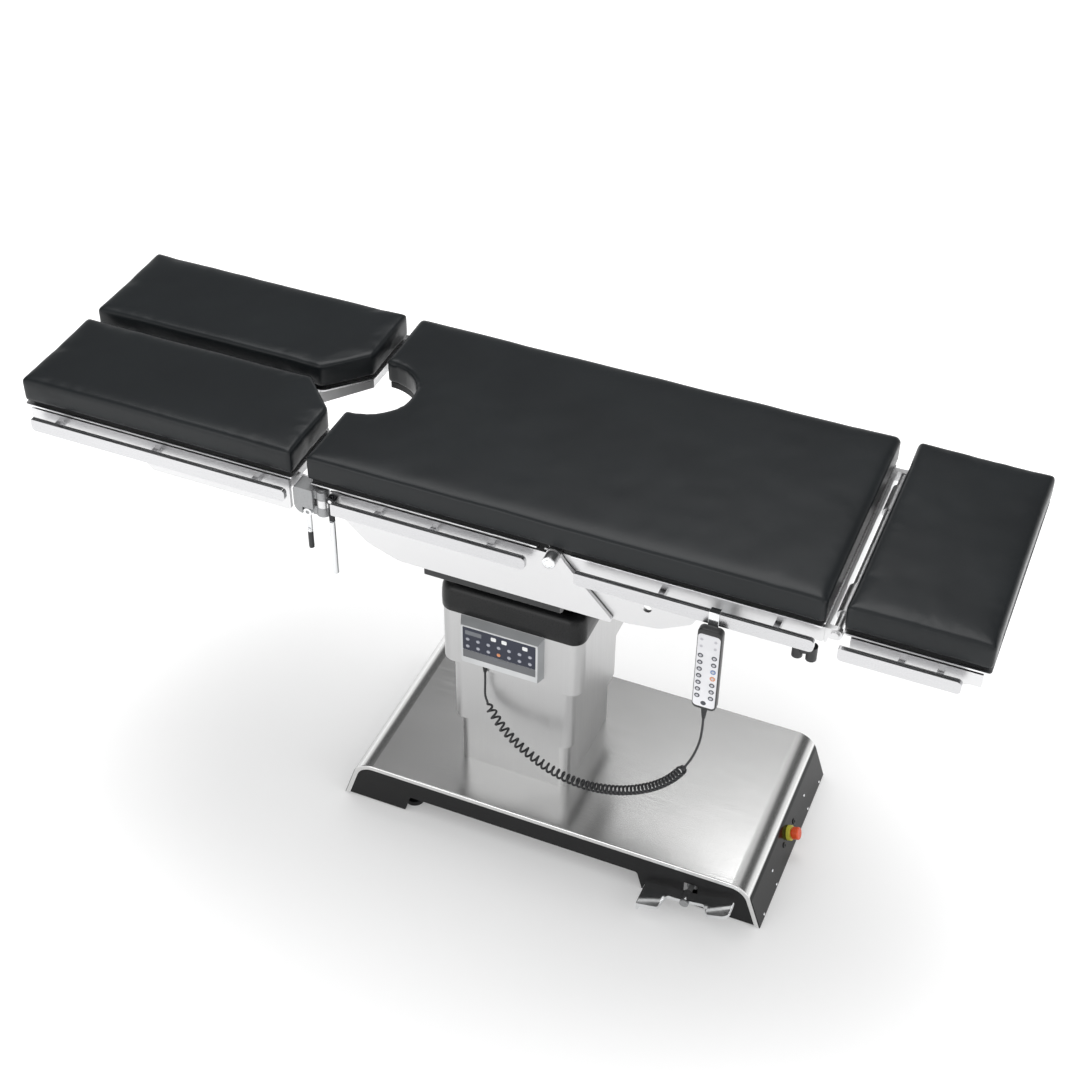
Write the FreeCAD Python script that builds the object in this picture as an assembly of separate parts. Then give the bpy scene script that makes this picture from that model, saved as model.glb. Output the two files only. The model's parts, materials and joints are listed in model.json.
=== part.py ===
import FreeCAD, Part
import math
import os

# Electric operating table: a four-section top on one telescoping column and a low wheeled base.
# Millimetres. X runs from the leg end to the head end, Y across the table, Z up.
# The origin is on the floor, under the middle of the table top.
# The patient's left side is -Y, the side where the hand control hangs.

V = FreeCAD.Vector

# Driving sizes of the table top
pad_top = 976.0
pad_width = 530.0
pad_thickness = 58.0
pad_edge_radius = 6.0
leg_pad_length = 622.0
body_pad_length = 1050.0
head_pad_length = 274.0
pad_gap = 28.0
leg_channel = 30.0
cutout_radius = 90.0
cutout_inset = 11.0
leg_corner_along = 80.0
leg_corner_across = 85.0
board_thickness = 14.0
board_inset = 15.0
plate_thickness = 8.0
plate_inset = 3.0
plate_depth = 36.0
seat_plate_depth = 129.0
leg_plate_depth = 75.0
flange_thickness = 4.0
flange_width = 52.0
cross_height = 32.0
cross_width = 28.0

# Accessory rails
leg_stand_first = 88.0
leg_stand_pitch = 227.5
seat_stand_first = 162.0
seat_stand_pitch = 118.0
back_stand_first = 220.0
back_stand_pitch = 221.0
head_stand_first = 116.0
head_stand_pitch = 70.0
leg_rail_inset = 31.0
seat_rail_inset = 67.0
seat_rail_hinge_gap = 47.0
back_rail_hinge_gap = 52.0
back_rail_inset = 12.0
head_rail_inset = 46.0
rail_height = 28.0
rail_thickness = 10.0
rail_reach = 25.0
rail_drop = 6.0
rail_end_radius = 9.0
standoff_width = 12.0
standoff_height = 14.0

# Back hinge
back_hinge_from_leg_end = 523.0
back_hinge_drop = 16.0
hinge_ear_radius = 15.0
hinge_pin_radius = 8.0
hinge_head_radius = 13.5
hinge_head_reach = 25.0
back_up = 75.0
bend_margin = 1.0
layer_gap = 2.0

# Leg joints
leg_tilt_from_seat = 1.0
leg_tilt_drop = 44.0
leg_block_width = 42.0
leg_block_height = 63.0
leg_block_outer = 274.0
leg_block_inner = 236.0
leg_block_corner = 20.0
lever_slot_depth = 16.0
lever_slot_height = 16.0
lever_pin_radius = 4.0
leg_ear_thickness = 11.0
leg_ear_radius = 20.0
leg_pin_radius = 9.0
swivel_from_seat = 34.0
knuckle_radius = 14.0
swivel_pin_radius = 7.0
knuckle_height = 18.0
lever_radius = 6.0
short_lever_radius = 5.0
short_lever_length = 94.0
long_lever_length = 186.0
long_lever_from_seat = 60.0

# Head section joint
head_hinge_gap_share = 11.0
head_hinge_drop = 25.0
head_bar_radius = 8.0
end_plate_drop = 24.0
sleeve_radius = 13.0
plug_rod_side = 16.0
plug_rod_length = 96.0
knob_radius = 24.0
knob_height = 40.0
knob_drop = 30.0

# Column
column_x = 33.0
upper_half_x = 159.0
upper_half_y = 149.0
stage_step = 20.0
low_stage_step = 11.0
shroud_radius = 28.0
shroud_wall = 2.5
upper_shroud_length = 144.0
mid_shroud_length = 208.0
upper_overlap = 34.0
mid_overlap = 70.0
head_rise = 32.0
head_plate = 12.0
head_wall = 6.0
mast_side = 150.0
mast_wall = 10.0
guide_gap = 0.3
low_mast_low = 40.0
mid_mast_length = 292.0
upper_mast_length = 296.0
boot_proud = 2.0
boot_rim_rise = 68.0

# Cross joint under the table top; the drops lead down from the top's frame to the column
head_top_drop = 76.0
trend_axis_drop = 22.0
tilt_axis_drop = 30.0
trunnion_radius = 12.0
gimbal_ear_radius = 20.0
gimbal_ear_inner = 44.0
gimbal_ear_thickness = 16.0
cross_half_x = 46.0
tray_drop = 132.0
tray_depth = 44.0
tray_half_x = 145.0
tray_half_y = 238.0
tray_wall = 5.0
slide_rail_y = 160.0
slide_rail_width = 16.0
slide_rail_drop = 116.0
runner_length = 405.0
runner_wall = 8.0

# Control panel on the column
panel_height = 105.0
panel_reach = 18.0
panel_flare = 7.0
socket_out = 7.0

# Base
base_left = -335.0
base_length = 985.0
base_half_width = 240.0
base_height = 114.0
base_lean = 37.5
base_corner_radius = 52.0
cover_sheet = 3.0
cover_bead = 2.5
cover_lip = 11.0
skirt_wall = 5.0
skirt_clear = 4.0
notch_left = 149.0
notch_right = 268.0
notch_height = 50.0
notch_slope = 14.0
beam_inset = 87.0
beam_low = 30.0
beam_height = 32.0
beam_inner = 80.0
beam_outer = 115.0
foot_inset = 155.0
foot_side_inset = 45.0
guide_side_inset = 92.0
guide_radius = 4.0
socket_half = 100.0
castor_inset = 80.0
castor_side_inset = 74.0
carrier_low = 74.0
carrier_plate = 12.0
foot_radius = 22.0
foot_height = 30.0
castor_radius = 30.0
castor_width = 24.0
castor_trail = 14.0
castor_clear = 1.5
castor_drop = 8.0

# Brake pedal
pedal_from_end = 161.0
pedal_z = 52.0
pedal_pin_radius = 6.0
pedal_hub_radius = 11.0
pedal_reach = 36.0
pedal_clear = 8.0
pedal_sheet = 9.0
tread_drop = -14.0
tread_rise = 24.0
tip_depth = 14.0
left_tread_length = 49.0
right_tread_length = 52.0
tread_from_hub = 48.0
left_tread_depth = 62.0
right_tread_depth = 50.0
waist_depth = 24.0

# Stop button
stop_height = 48.0
stop_collar_radius = 17.0
stop_button_radius = 14.0
stop_travel = 3.5

# Hand control and its cord
handset_x = 500.0
handset_width = 48.0
handset_height = 197.0
handset_thickness = 18.0
handset_gap = 1.0
handset_drop = 33.0
hook_width = 20.0
hook_sheet = 2.5
key_radius = 3.6
lead_radius = 2.5
curl_radius = 11.0

# General running clearances
pin_gap = 0.05
side_gap = 0.3

# Worked out from the sizes above
half_width = pad_width / 2
total_length = leg_pad_length + body_pad_length + head_pad_length + 2 * pad_gap
leg_end_x = -total_length / 2
leg_pad_x1 = leg_end_x + leg_pad_length
seat_x0 = leg_pad_x1 + pad_gap
body_x1 = seat_x0 + body_pad_length
head_x0 = body_x1 + pad_gap
head_x1 = head_x0 + head_pad_length
pad_low = pad_top - pad_thickness
frame_top = pad_low - board_thickness
board_half = half_width - board_inset
plate_y1 = half_width - plate_inset
plate_y0 = plate_y1 - plate_thickness
inner_y1 = plate_y0 - layer_gap
inner_y0 = inner_y1 - plate_thickness
rail_y1 = half_width + rail_reach
rail_y0 = rail_y1 - rail_thickness
rail_z1 = frame_top - rail_drop
rail_z0 = rail_z1 - rail_height
back_x = seat_x0 + back_hinge_from_leg_end
back_z = pad_low - back_hinge_drop
slide_rail_high = frame_top - slide_rail_drop
tray_high = frame_top - tray_drop
tray_low = tray_high - tray_depth
tilt_axis_z = tray_low - tilt_axis_drop
trend_axis_z = tilt_axis_z - trend_axis_drop
head_top = trend_axis_z - head_top_drop
upper_shroud_high = head_top - head_rise
upper_shroud_low = upper_shroud_high - upper_shroud_length
boot_rim_top = upper_shroud_high + boot_rim_rise
mid_shroud_high = upper_shroud_low + upper_overlap
mid_shroud_low = mid_shroud_high - mid_shroud_length
low_shroud_high = mid_shroud_low + mid_overlap
mid_mast_low = mid_shroud_high - mid_mast_length
upper_mast_low = head_top - head_plate - upper_mast_length
base_right = base_left + base_length
pedal_x = base_right - pedal_from_end
bend_angle = math.radians(back_up / 2 + bend_margin)


# Shape helpers
def arc_edge(a, b, c):
    return Part.Arc(a, b, c).toShape()


def rounded_wire(corners, place):
    """Closed outline through (u, v, radius) corners; place turns u, v into a 3-D point."""
    n = len(corners)
    stops = []
    for i, (u, v, r) in enumerate(corners):
        pu, pv = corners[i - 1][:2]
        nu, nv = corners[(i + 1) % n][:2]
        a = V(pu - u, pv - v, 0)
        b = V(nu - u, nv - v, 0)
        a.normalize()
        b.normalize()
        if r <= 0:
            stops.append((V(u, v, 0), None, V(u, v, 0)))
            continue
        half = math.acos(max(-1.0, min(1.0, a.dot(b)))) / 2
        reach = r / math.tan(half)
        middle = a + b
        middle.normalize()
        corner = V(u, v, 0)
        centre = corner + middle * (r / math.sin(half))
        stops.append((corner + a * reach, centre - middle * r, corner + b * reach))
    edges = []
    for i in range(n):
        start, via, end = stops[i]
        following = stops[(i + 1) % n][0]
        if via is not None:
            edges.append(arc_edge(place(start.x, start.y), place(via.x, via.y), place(end.x, end.y)))
        if (end - following).Length > 1e-6:
            edges.append(Part.makeLine(place(end.x, end.y), place(following.x, following.y)))
    return Part.Wire(Part.__sortEdges__(edges))


def prism_xz(corners, y0, y1):
    wire = rounded_wire(corners, lambda u, v: V(u, y0, v))
    return Part.Face(wire).extrude(V(0, y1 - y0, 0))


def prism_xy(corners, z0, z1):
    wire = rounded_wire(corners, lambda u, v: V(u, v, z0))
    return Part.Face(wire).extrude(V(0, 0, z1 - z0))


def prism_yz(corners, x0, x1):
    wire = rounded_wire(corners, lambda u, v: V(x0, u, v))
    return Part.Face(wire).extrude(V(x1 - x0, 0, 0))


def block(x0, x1, y0, y1, z0, z1):
    return Part.makeBox(x1 - x0, y1 - y0, z1 - z0, V(x0, y0, z0))


def rod(x, y, z, radius, length, axis):
    return Part.makeCylinder(radius, length, V(x, y, z), axis)


X_AXIS = V(1, 0, 0)
Y_AXIS = V(0, 1, 0)
Z_AXIS = V(0, 0, 1)


def rounded_box(x, half_x, half_y, z0, z1, radius):
    corners = [
        (x - half_x, -half_y, radius),
        (x + half_x, -half_y, radius),
        (x + half_x, half_y, radius),
        (x - half_x, half_y, radius),
    ]
    return prism_xy(corners, z0, z1)


def rounded_tube(x, half_x, half_y, z0, z1, radius, wall):
    outer = rounded_box(x, half_x, half_y, z0, z1, radius)
    inner = rounded_box(x, half_x - wall, half_y - wall, z0 - 1, z1 + 1, radius - wall)
    return outer.cut(inner)


def joined(shapes):
    result = shapes[0].multiFuse(shapes[1:]) if len(shapes) > 1 else shapes[0]
    return result.removeSplitter()


def across(shape):
    """The same piece on the other side of the table."""
    return shape.mirror(V(0, 0, 0), Y_AXIS)


def both_sides(shape):
    return [shape, across(shape)]


nodes = {}


def keep(name, *shapes):
    solids = []
    for shape in shapes:
        solids += shape.Solids
    nodes[name] = solids[0] if len(solids) == 1 else Part.makeCompound(solids)


def soften(shape, radius, wanted):
    edges = [e for e in shape.Edges if wanted(e)]
    return shape.makeFillet(radius, edges)


# Base: arch profile shared by the steel cover and the dark skirt
def arch(inset, low):
    """Side outline of the base, drawn inwards by inset, from z = low upwards."""
    top = base_height - inset
    lean = base_lean / base_height
    side_shift = inset * math.sqrt(1 + lean * lean)
    left = base_left + side_shift
    right = base_right - side_shift
    radius = max(base_corner_radius - inset, 1.0)
    return [
        (left + lean * low, low, 0),
        (right - lean * low, low, 0),
        (right - lean * top, top, radius),
        (left + lean * top, top, radius),
    ]


mast_hole_half = mast_side / 2 + 12
cover_low = 3.0
cover = prism_xz(arch(0, cover_low), -base_half_width, base_half_width)
cover = soften(cover, cover_bead, lambda e: abs(e.BoundBox.YMax - e.BoundBox.YMin) < 0.01
               and e.BoundBox.ZMax > cover_low + 1)
cover = cover.cut(prism_xz(arch(cover_sheet, 0), -base_half_width + cover_sheet,
                           base_half_width - cover_sheet))
cover = cover.cut(prism_xz(arch(cover_lip, -1), -base_half_width - 1, base_half_width + 1))
cover = cover.cut(rounded_box(column_x, mast_hole_half, mast_hole_half, base_height - 20,
                              base_height + 5, 12))
keep("base_cover", cover)

skirt_inset = cover_sheet + side_gap
skirt_half = base_half_width - skirt_inset
skirt = prism_xz(arch(skirt_inset, skirt_clear), -skirt_half, skirt_half)
skirt_inner = skirt_inset + skirt_wall
skirt = skirt.cut(prism_xz(arch(skirt_inner, -1), -skirt_half + skirt_wall, skirt_half - skirt_wall))
notch_x0 = base_left + notch_left
notch_x1 = base_right - notch_right
notch = prism_xz([
    (notch_x0, -1, 0),
    (notch_x1, -1, 0),
    (notch_x1 - notch_slope, notch_height, 8),
    (notch_x0 + notch_slope, notch_height, 8),
], -base_half_width - 5, base_half_width + 5)
skirt = skirt.cut(notch)
skirt = skirt.cut(rounded_box(column_x, mast_hole_half, mast_hole_half, base_height - 20,
                              base_height + 5, 12))
pedal_slot = block(pedal_x - 16, pedal_x + 16, -skirt_half - 1, -skirt_half + skirt_wall + 1,
                   pedal_z - 16, pedal_z + 16)
skirt = skirt.cut(pedal_slot)
end_slope = base_lean / base_height
stop_x = base_right - end_slope * stop_height
stop_axis = V(1, 0, end_slope)
stop_axis.normalize()
stop_seat = V(stop_x, 0, stop_height)
stop_bore = stop_button_radius - 5
stop_hole = Part.makeCylinder(stop_bore + 1, 30, stop_seat - stop_axis * 20, stop_axis)
skirt = skirt.cut(stop_hole)
keep("base_skirt", skirt)
nodes["base_cover"] = nodes["base_cover"].cut(stop_hole)

# Chassis: beams, the column socket, posts under the skirt and the lug that carries the pedal
beam_high = beam_low + beam_height
beam_y0 = beam_inner
beam_y1 = beam_outer
beam_x0 = base_left + beam_inset
beam_x1 = base_right - beam_inset
foot_x0 = base_left + foot_inset
foot_x1 = base_right - foot_inset
foot_y = base_half_width - foot_side_inset
guide_y = base_half_width - guide_side_inset
skirt_roof = base_height - skirt_inner
chassis = [block(beam_x0, beam_x1, beam_y0, beam_y1, beam_low, beam_high),
           block(beam_x0, beam_x1, -beam_y1, -beam_y0, beam_low, beam_high)]
for x in (foot_x0, foot_x1):
    chassis.append(block(x - 20, x + 20, -foot_y - 18, foot_y + 18, beam_low, beam_high))
    for y in (-foot_y, foot_y):
        chassis.append(rod(x, y, beam_high, 8, skirt_roof - beam_high, Z_AXIS))
    for y in (-guide_y, guide_y):
        chassis.append(rod(x, y, beam_high, guide_radius, skirt_roof - beam_high - 4, Z_AXIS))
chassis.append(block(column_x - socket_half, column_x + socket_half, -beam_y0 - 1, beam_y0 + 1,
                     beam_low, low_mast_low))
chassis.append(block(pedal_x - 10, pedal_x + 10, -skirt_half + skirt_wall + 6, -foot_y + 16,
                     pedal_z - 10, pedal_z + 10))
chassis.append(rod(pedal_x, -base_half_width - pedal_reach, pedal_z, pedal_pin_radius,
                   base_half_width + pedal_reach - foot_y, Y_AXIS))
chassis.append(rod(pedal_x, -base_half_width - pedal_reach - 3, pedal_z, pedal_pin_radius + 4, 3, Y_AXIS))
keep("chassis", joined(chassis))
feet = []
for x in (foot_x0, foot_x1):
    for y in (-foot_y, foot_y):
        pad_foot = rod(x, y, 0, foot_radius, foot_height * 0.4, Z_AXIS)
        stem = rod(x, y, 0, foot_radius * 0.55, foot_height, Z_AXIS)
        feet.append(joined([pad_foot, stem]))
keep("fixed_feet", *feet)

# Castors on a carrier that the pedal lowers
castor_x0 = base_left + castor_inset
castor_x1 = base_right - castor_inset
castor_y = base_half_width - castor_side_inset
wheel_z = castor_radius + castor_clear
carrier = []
for side in (-1, 1):
    carrier.append(block(castor_x0, castor_x1, side * guide_y - 8, side * guide_y + 8, carrier_low,
                         carrier_low + carrier_plate))
for x in (castor_x0, castor_x1):
    plate = block(x - 20, x + 20, -castor_y - 26, castor_y + 26, carrier_low, carrier_low + carrier_plate)
    for y in (-castor_y, castor_y):
        plate = plate.cut(rod(x, y, carrier_low - 1, 8 + pin_gap, carrier_plate + 2, Z_AXIS))
    carrier.append(plate)
carrier = joined(carrier)
for x in (foot_x0, foot_x1):
    for y in (-guide_y, guide_y):
        carrier = carrier.cut(rod(x, y, carrier_low - 1, guide_radius + pin_gap, carrier_plate + 2, Z_AXIS))


def castor_wheel(x, y):
    tread = rod(x, y - castor_width / 2, wheel_z, castor_radius, castor_width, Y_AXIS)
    tread = soften(tread, 4, lambda e: e.Closed)
    return tread.cut(rod(x, y - castor_width, wheel_z, 4 + pin_gap, 2 * castor_width, Y_AXIS))


def castor_fork(x, y, turn):
    """Crown, two cheeks and the axle; the axle trails the swivel by turn * castor_trail."""
    axle_x = x + turn * castor_trail
    low = wheel_z
    gap = castor_width / 2 + 1
    crown = block(min(x, axle_x) - 16, max(x, axle_x) + 16, y - gap - 4, y + gap + 4,
                  carrier_low - 6.5, carrier_low - side_gap)
    parts = [crown, rod(x, y, carrier_low - 3, 8, carrier_plate + 6, Z_AXIS)]
    for side in (-1, 1):
        y0 = y + side * (gap + 2) - 2
        cheek = prism_xz([(axle_x - 9, low - 9, 8), (axle_x + 9, low - 9, 8),
                          (max(x, axle_x) + 12, carrier_low - 3, 0),
                          (min(x, axle_x) - 12, carrier_low - 3, 0)], y0, y0 + 4)
        parts.append(cheek)
    parts.append(rod(axle_x, y - gap - 4, low, 4, 2 * gap + 8, Y_AXIS))
    return joined(parts)


castors = {
    "leg_left": (castor_x0, -castor_y, 1),
    "leg_right": (castor_x0, castor_y, 1),
    "head_left": (castor_x1, -castor_y, -1),
    "head_right": (castor_x1, castor_y, -1),
}
for place, (x, y, turn) in castors.items():
    keep("castor_wheel_" + place, castor_wheel(x + turn * castor_trail, y))
    if place.startswith("leg"):
        keep("castor_fork_" + place, castor_fork(x, y, turn))
fixed_forks = [castor_fork(x, y, turn) for place, (x, y, turn) in castors.items()
               if place.startswith("head")]
keep("castor_carrier", joined([carrier] + fixed_forks))

# Brake pedal: a cast rocker, its bent side outline cut to a dumbbell seen from above
pedal_y1 = -base_half_width - pedal_clear
pedal_y0 = -base_half_width - pedal_reach + 1
left_x0 = -tread_from_hub - left_tread_length
right_x1 = tread_from_hub + right_tread_length + 4
lift = [(left_x0, tread_drop), (-tread_from_hub, tread_drop / 4), (-20, -4), (20, 2),
        (tread_from_hub + 4, tread_rise / 3), (right_x1, tread_rise)]
under = [(pedal_x + x, pedal_z + z - pedal_sheet / 2, 3) for x, z in lift[1:]]
over = [(pedal_x + x, pedal_z + z + pedal_sheet / 2, 3) for x, z in lift]
tip = [(pedal_x + left_x0, pedal_z + tread_drop - tip_depth, 1.5),
       (pedal_x + left_x0 + pedal_sheet * 0.7, pedal_z + tread_drop - tip_depth, 1.5),
       (pedal_x + left_x0 + pedal_sheet, pedal_z + tread_drop - pedal_sheet / 2, 2)]
side_view = prism_xz(tip + under + over[::-1], pedal_y1 - left_tread_depth, pedal_y1)
top_view = prism_xy([
    (pedal_x + left_x0, pedal_y1, 3), (pedal_x + right_x1, pedal_y1, 16),
    (pedal_x + right_x1, pedal_y1 - right_tread_depth, 18),
    (pedal_x + tread_from_hub + 8, pedal_y1 - right_tread_depth, 8),
    (pedal_x + tread_from_hub - 6, pedal_y1 - waist_depth, 8),
    (pedal_x - tread_from_hub + 8, pedal_y1 - waist_depth, 8),
    (pedal_x - tread_from_hub, pedal_y1 - left_tread_depth, 6),
    (pedal_x + left_x0, pedal_y1 - left_tread_depth, 5)], pedal_z - 60, pedal_z + 60)
hub = rod(pedal_x, pedal_y0, pedal_z, pedal_hub_radius, pedal_y1 - pedal_y0, Y_AXIS)
pedal = joined([side_view.common(top_view), hub])
pedal = pedal.cut(rod(pedal_x, pedal_y0 - 60, pedal_z, pedal_pin_radius + pin_gap, 200, Y_AXIS))
keep("brake_pedal", pedal)

# Stop button on the end wall
collar = Part.makeCylinder(stop_collar_radius, 8, stop_seat, stop_axis)
collar = collar.cut(Part.makeCylinder(stop_bore + pin_gap, 12, stop_seat - stop_axis, stop_axis))
keep("stop_collar", collar)
button_head = Part.makeCylinder(stop_button_radius, 14, stop_seat + stop_axis * 12, stop_axis)
button_head = soften(button_head, 3, lambda e: e.Closed and e.CenterOfMass.x > stop_x + 22)
button_stem = Part.makeCylinder(stop_bore, 12, stop_seat + stop_axis * 1, stop_axis)
keep("stop_button", joined([button_head, button_stem]))

# Column: three shells, three masts and the head casting
keep("low_shroud", rounded_tube(column_x, upper_half_x - stage_step - low_stage_step,
                                upper_half_y - stage_step / 2 - low_stage_step, base_height,
                                low_shroud_high, shroud_radius - 6, shroud_wall))
mid_half_x = upper_half_x - stage_step
mid_half_y = upper_half_y - stage_step / 2
mid_tube = rounded_tube(column_x, mid_half_x, mid_half_y, mid_shroud_low, mid_shroud_high,
                        shroud_radius - 3, shroud_wall)
mid_mast_side = mast_side - 2 * mast_wall - 2 * guide_gap
upper_mast_side = mid_mast_side - 2 * mast_wall - 2 * guide_gap
mid_lid = rounded_box(column_x, mid_half_x - 1, mid_half_y - 1, mid_shroud_high - 5, mid_shroud_high,
                      shroud_radius - 4)
mid_lid = mid_lid.cut(rounded_box(column_x, mid_mast_side / 2, mid_mast_side / 2, mid_shroud_high - 8,
                                  mid_shroud_high + 2, 10))
keep("mid_shroud", joined([mid_tube, mid_lid]))
keep("upper_shroud", rounded_tube(column_x, upper_half_x, upper_half_y, upper_shroud_low,
                                  upper_shroud_high, shroud_radius, shroud_wall))


def mast(side, z0, z1):
    return rounded_tube(column_x, side / 2, side / 2, z0, z1, 12, mast_wall)


keep("low_mast", mast(mast_side, low_mast_low, low_shroud_high))
keep("mid_mast", mast(mid_mast_side, mid_mast_low, mid_shroud_high))
keep("upper_mast", mast(upper_mast_side, upper_mast_low, head_top - head_plate))

head_half_x = upper_half_x - shroud_wall - side_gap
head_half_y = upper_half_y - shroud_wall - side_gap
head_low = upper_shroud_high - 12
casting = rounded_box(column_x, head_half_x, head_half_y, head_low, head_top, shroud_radius - 3)
casting = casting.cut(rounded_box(column_x, head_half_x - head_wall, head_half_y - head_wall, head_low - 1,
                                  head_top - head_plate, shroud_radius - 8))
gimbal_ear_outer = gimbal_ear_inner + gimbal_ear_thickness


def gimbal_ear(y0):
    ear = prism_xz([
        (column_x - gimbal_ear_radius - 8, head_top - 1, 0),
        (column_x + gimbal_ear_radius + 8, head_top - 1, 0),
        (column_x + gimbal_ear_radius, trend_axis_z, 0),
        (column_x + gimbal_ear_radius, trend_axis_z + gimbal_ear_radius, gimbal_ear_radius - 0.5),
        (column_x - gimbal_ear_radius, trend_axis_z + gimbal_ear_radius, gimbal_ear_radius - 0.5),
        (column_x - gimbal_ear_radius, trend_axis_z, 0),
    ], y0, y0 + gimbal_ear_thickness)
    return ear.cut(rod(column_x, y0 - 1, trend_axis_z, trunnion_radius + pin_gap,
                       gimbal_ear_thickness + 2, Y_AXIS))


keep("column_head", joined([casting, gimbal_ear(gimbal_ear_inner), gimbal_ear(-gimbal_ear_outer)]))

cross_half_y = gimbal_ear_inner - side_gap
cross = prism_yz([(-cross_half_y, trend_axis_z - 18, 6), (cross_half_y, trend_axis_z - 18, 6),
                  (cross_half_y, tilt_axis_z + 14, 6), (-cross_half_y, tilt_axis_z + 14, 6)],
                 column_x - cross_half_x, column_x + cross_half_x)
trunnions = rod(column_x, -gimbal_ear_outer - 2, trend_axis_z, trunnion_radius,
                2 * gimbal_ear_outer + 4, Y_AXIS)
lug_inner = cross_half_x + 6
lug_outer = lug_inner + 18
journals = rod(column_x - lug_outer - 3, 0, tilt_axis_z, trunnion_radius, 2 * lug_outer + 6, X_AXIS)
keep("gimbal_cross", joined([cross, trunnions, journals]))

# Boot: rim round the column head, then two soft folds up to the tray
rim_half_x = upper_half_x + boot_proud
rim_half_y = upper_half_y + boot_proud
fold_half_x = rim_half_x - 20
fold_half_y = rim_half_y - 26
rim_top = boot_rim_top
fold_step = (tray_low - side_gap - rim_top) / 4
boot_parts = [rounded_box(column_x, rim_half_x, rim_half_y, upper_shroud_high + side_gap, rim_top,
                          shroud_radius)]
for i in range(4):
    shrink = 10 if i % 2 else 0
    z0 = rim_top + i * fold_step
    boot_parts.append(rounded_box(column_x, fold_half_x - shrink, fold_half_y - shrink, z0,
                                  z0 + fold_step, shroud_radius + 8))
boot = joined(boot_parts)


def rim_edge(e):
    """The outer edge on top of the rim, and not the foot of the first fold."""
    level = abs(e.BoundBox.ZMin - rim_top) < 0.01 and abs(e.BoundBox.ZMax - rim_top) < 0.01
    out_x = abs(e.CenterOfMass.x - column_x) > (rim_half_x + fold_half_x) / 2 - 4
    out_y = abs(e.CenterOfMass.y) > (rim_half_y + fold_half_y) / 2
    return level and (out_x or out_y)


boot = soften(boot, 4, rim_edge)
boot = boot.cut(rounded_box(column_x, head_half_x + side_gap, head_half_y + side_gap,
                            upper_shroud_high - 1, head_top + side_gap, shroud_radius - 3))
boot = boot.cut(rounded_box(column_x, fold_half_x - 15, fold_half_y - 15, head_top, tray_low + 1,
                            shroud_radius))
keep("boot", boot)

# Control panel on the column front
panel_x0 = column_x - 102
panel_x1 = column_x + 71
panel_low = upper_shroud_low + 28
panel_high = panel_low + panel_height
face_y = -upper_half_y - panel_reach
hood_back = rounded_wire([(panel_x0 - panel_flare, panel_low, 0), (panel_x1 + panel_flare, panel_low, 0),
                          (panel_x1 + panel_flare, upper_shroud_high - 2, 0),
                          (panel_x0 - panel_flare, upper_shroud_high - 2, 0)],
                         lambda u, v: V(u, -upper_half_y, v))
hood_front = rounded_wire([(panel_x0, panel_low, 0), (panel_x1, panel_low, 0), (panel_x1, panel_high, 0),
                           (panel_x0, panel_high, 0)], lambda u, v: V(u, face_y, v))
keep("panel_hood", Part.makeLoft([hood_back, hood_front], True, True))
sheet_thickness = 1.2
keypad = [prism_xz([(panel_x0 + 5, panel_low + 16, 3), (panel_x1 - 5, panel_low + 16, 3),
                    (panel_x1 - 5, panel_high - 4, 3), (panel_x0 + 5, panel_high - 4, 3)],
                   face_y - sheet_thickness, face_y)]
key_columns = 7
key_row_pitch = 16.0
key_pitch = (panel_x1 - panel_x0 - 34) / (key_columns - 1)
for i in range(key_columns):
    for row in range(2):
        key_x = panel_x0 + 17 + i * key_pitch
        key_z = panel_low + 49 + row * key_row_pitch
        keypad.append(rod(key_x, face_y - sheet_thickness - 0.9, key_z, 5.2, 0.9, Y_AXIS))
keep("panel_keypad", joined(keypad[:1]), *keypad[1:])
socket_x = -20.0
socket_y = -upper_half_y - socket_out
plug_high = panel_low
plug_low = panel_low - 24
socket = joined([rod(socket_x, socket_y, plug_high - 12, 6.5, 12, Z_AXIS),
                 Part.makeCone(3.4, 5.6, 12, V(socket_x, socket_y, plug_low), Z_AXIS)])
keep("cord_plug", socket)

# Tray that carries the sliding table top
tray = prism_yz([(-tray_half_y, tray_low + 8, 5), (-tray_half_y + 14, tray_low, 5),
                 (tray_half_y - 14, tray_low, 5), (tray_half_y, tray_low + 8, 5),
                 (tray_half_y, tray_high, 0), (-tray_half_y, tray_high, 0)],
                column_x - tray_half_x, column_x + tray_half_x)
tray = tray.cut(block(column_x - tray_half_x + tray_wall, column_x + tray_half_x - tray_wall,
                      -tray_half_y + 14, tray_half_y - 14, tray_low + tray_wall, tray_high + 1))
tray_parts = [tray]
slide_rail_half = tray_half_x - 6
for y in (-slide_rail_y, slide_rail_y):
    tray_parts.append(block(column_x - slide_rail_half, column_x + slide_rail_half,
                            y - slide_rail_width / 2, y + slide_rail_width / 2,
                            tray_low + tray_wall - 1, slide_rail_high))


def tray_lug(x0):
    lug = prism_yz([(-gimbal_ear_radius, tilt_axis_z, 0),
                    (-gimbal_ear_radius, tilt_axis_z - gimbal_ear_radius, gimbal_ear_radius - 0.5),
                    (gimbal_ear_radius, tilt_axis_z - gimbal_ear_radius, gimbal_ear_radius - 0.5),
                    (gimbal_ear_radius, tilt_axis_z, 0), (gimbal_ear_radius, tray_low + 1, 0),
                    (-gimbal_ear_radius, tray_low + 1, 0)], x0, x0 + lug_outer - lug_inner)
    return lug.cut(rod(x0 - 1, 0, tilt_axis_z, trunnion_radius + pin_gap, lug_outer - lug_inner + 2, X_AXIS))


tray_parts += [tray_lug(column_x + lug_inner), tray_lug(column_x - lug_outer)]
keep("slide_tray", joined(tray_parts))


# Table top frames
def flange(x0, x1, outer):
    return block(x0, x1, -outer, -outer + flange_width, frame_top - flange_thickness, frame_top)


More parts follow.
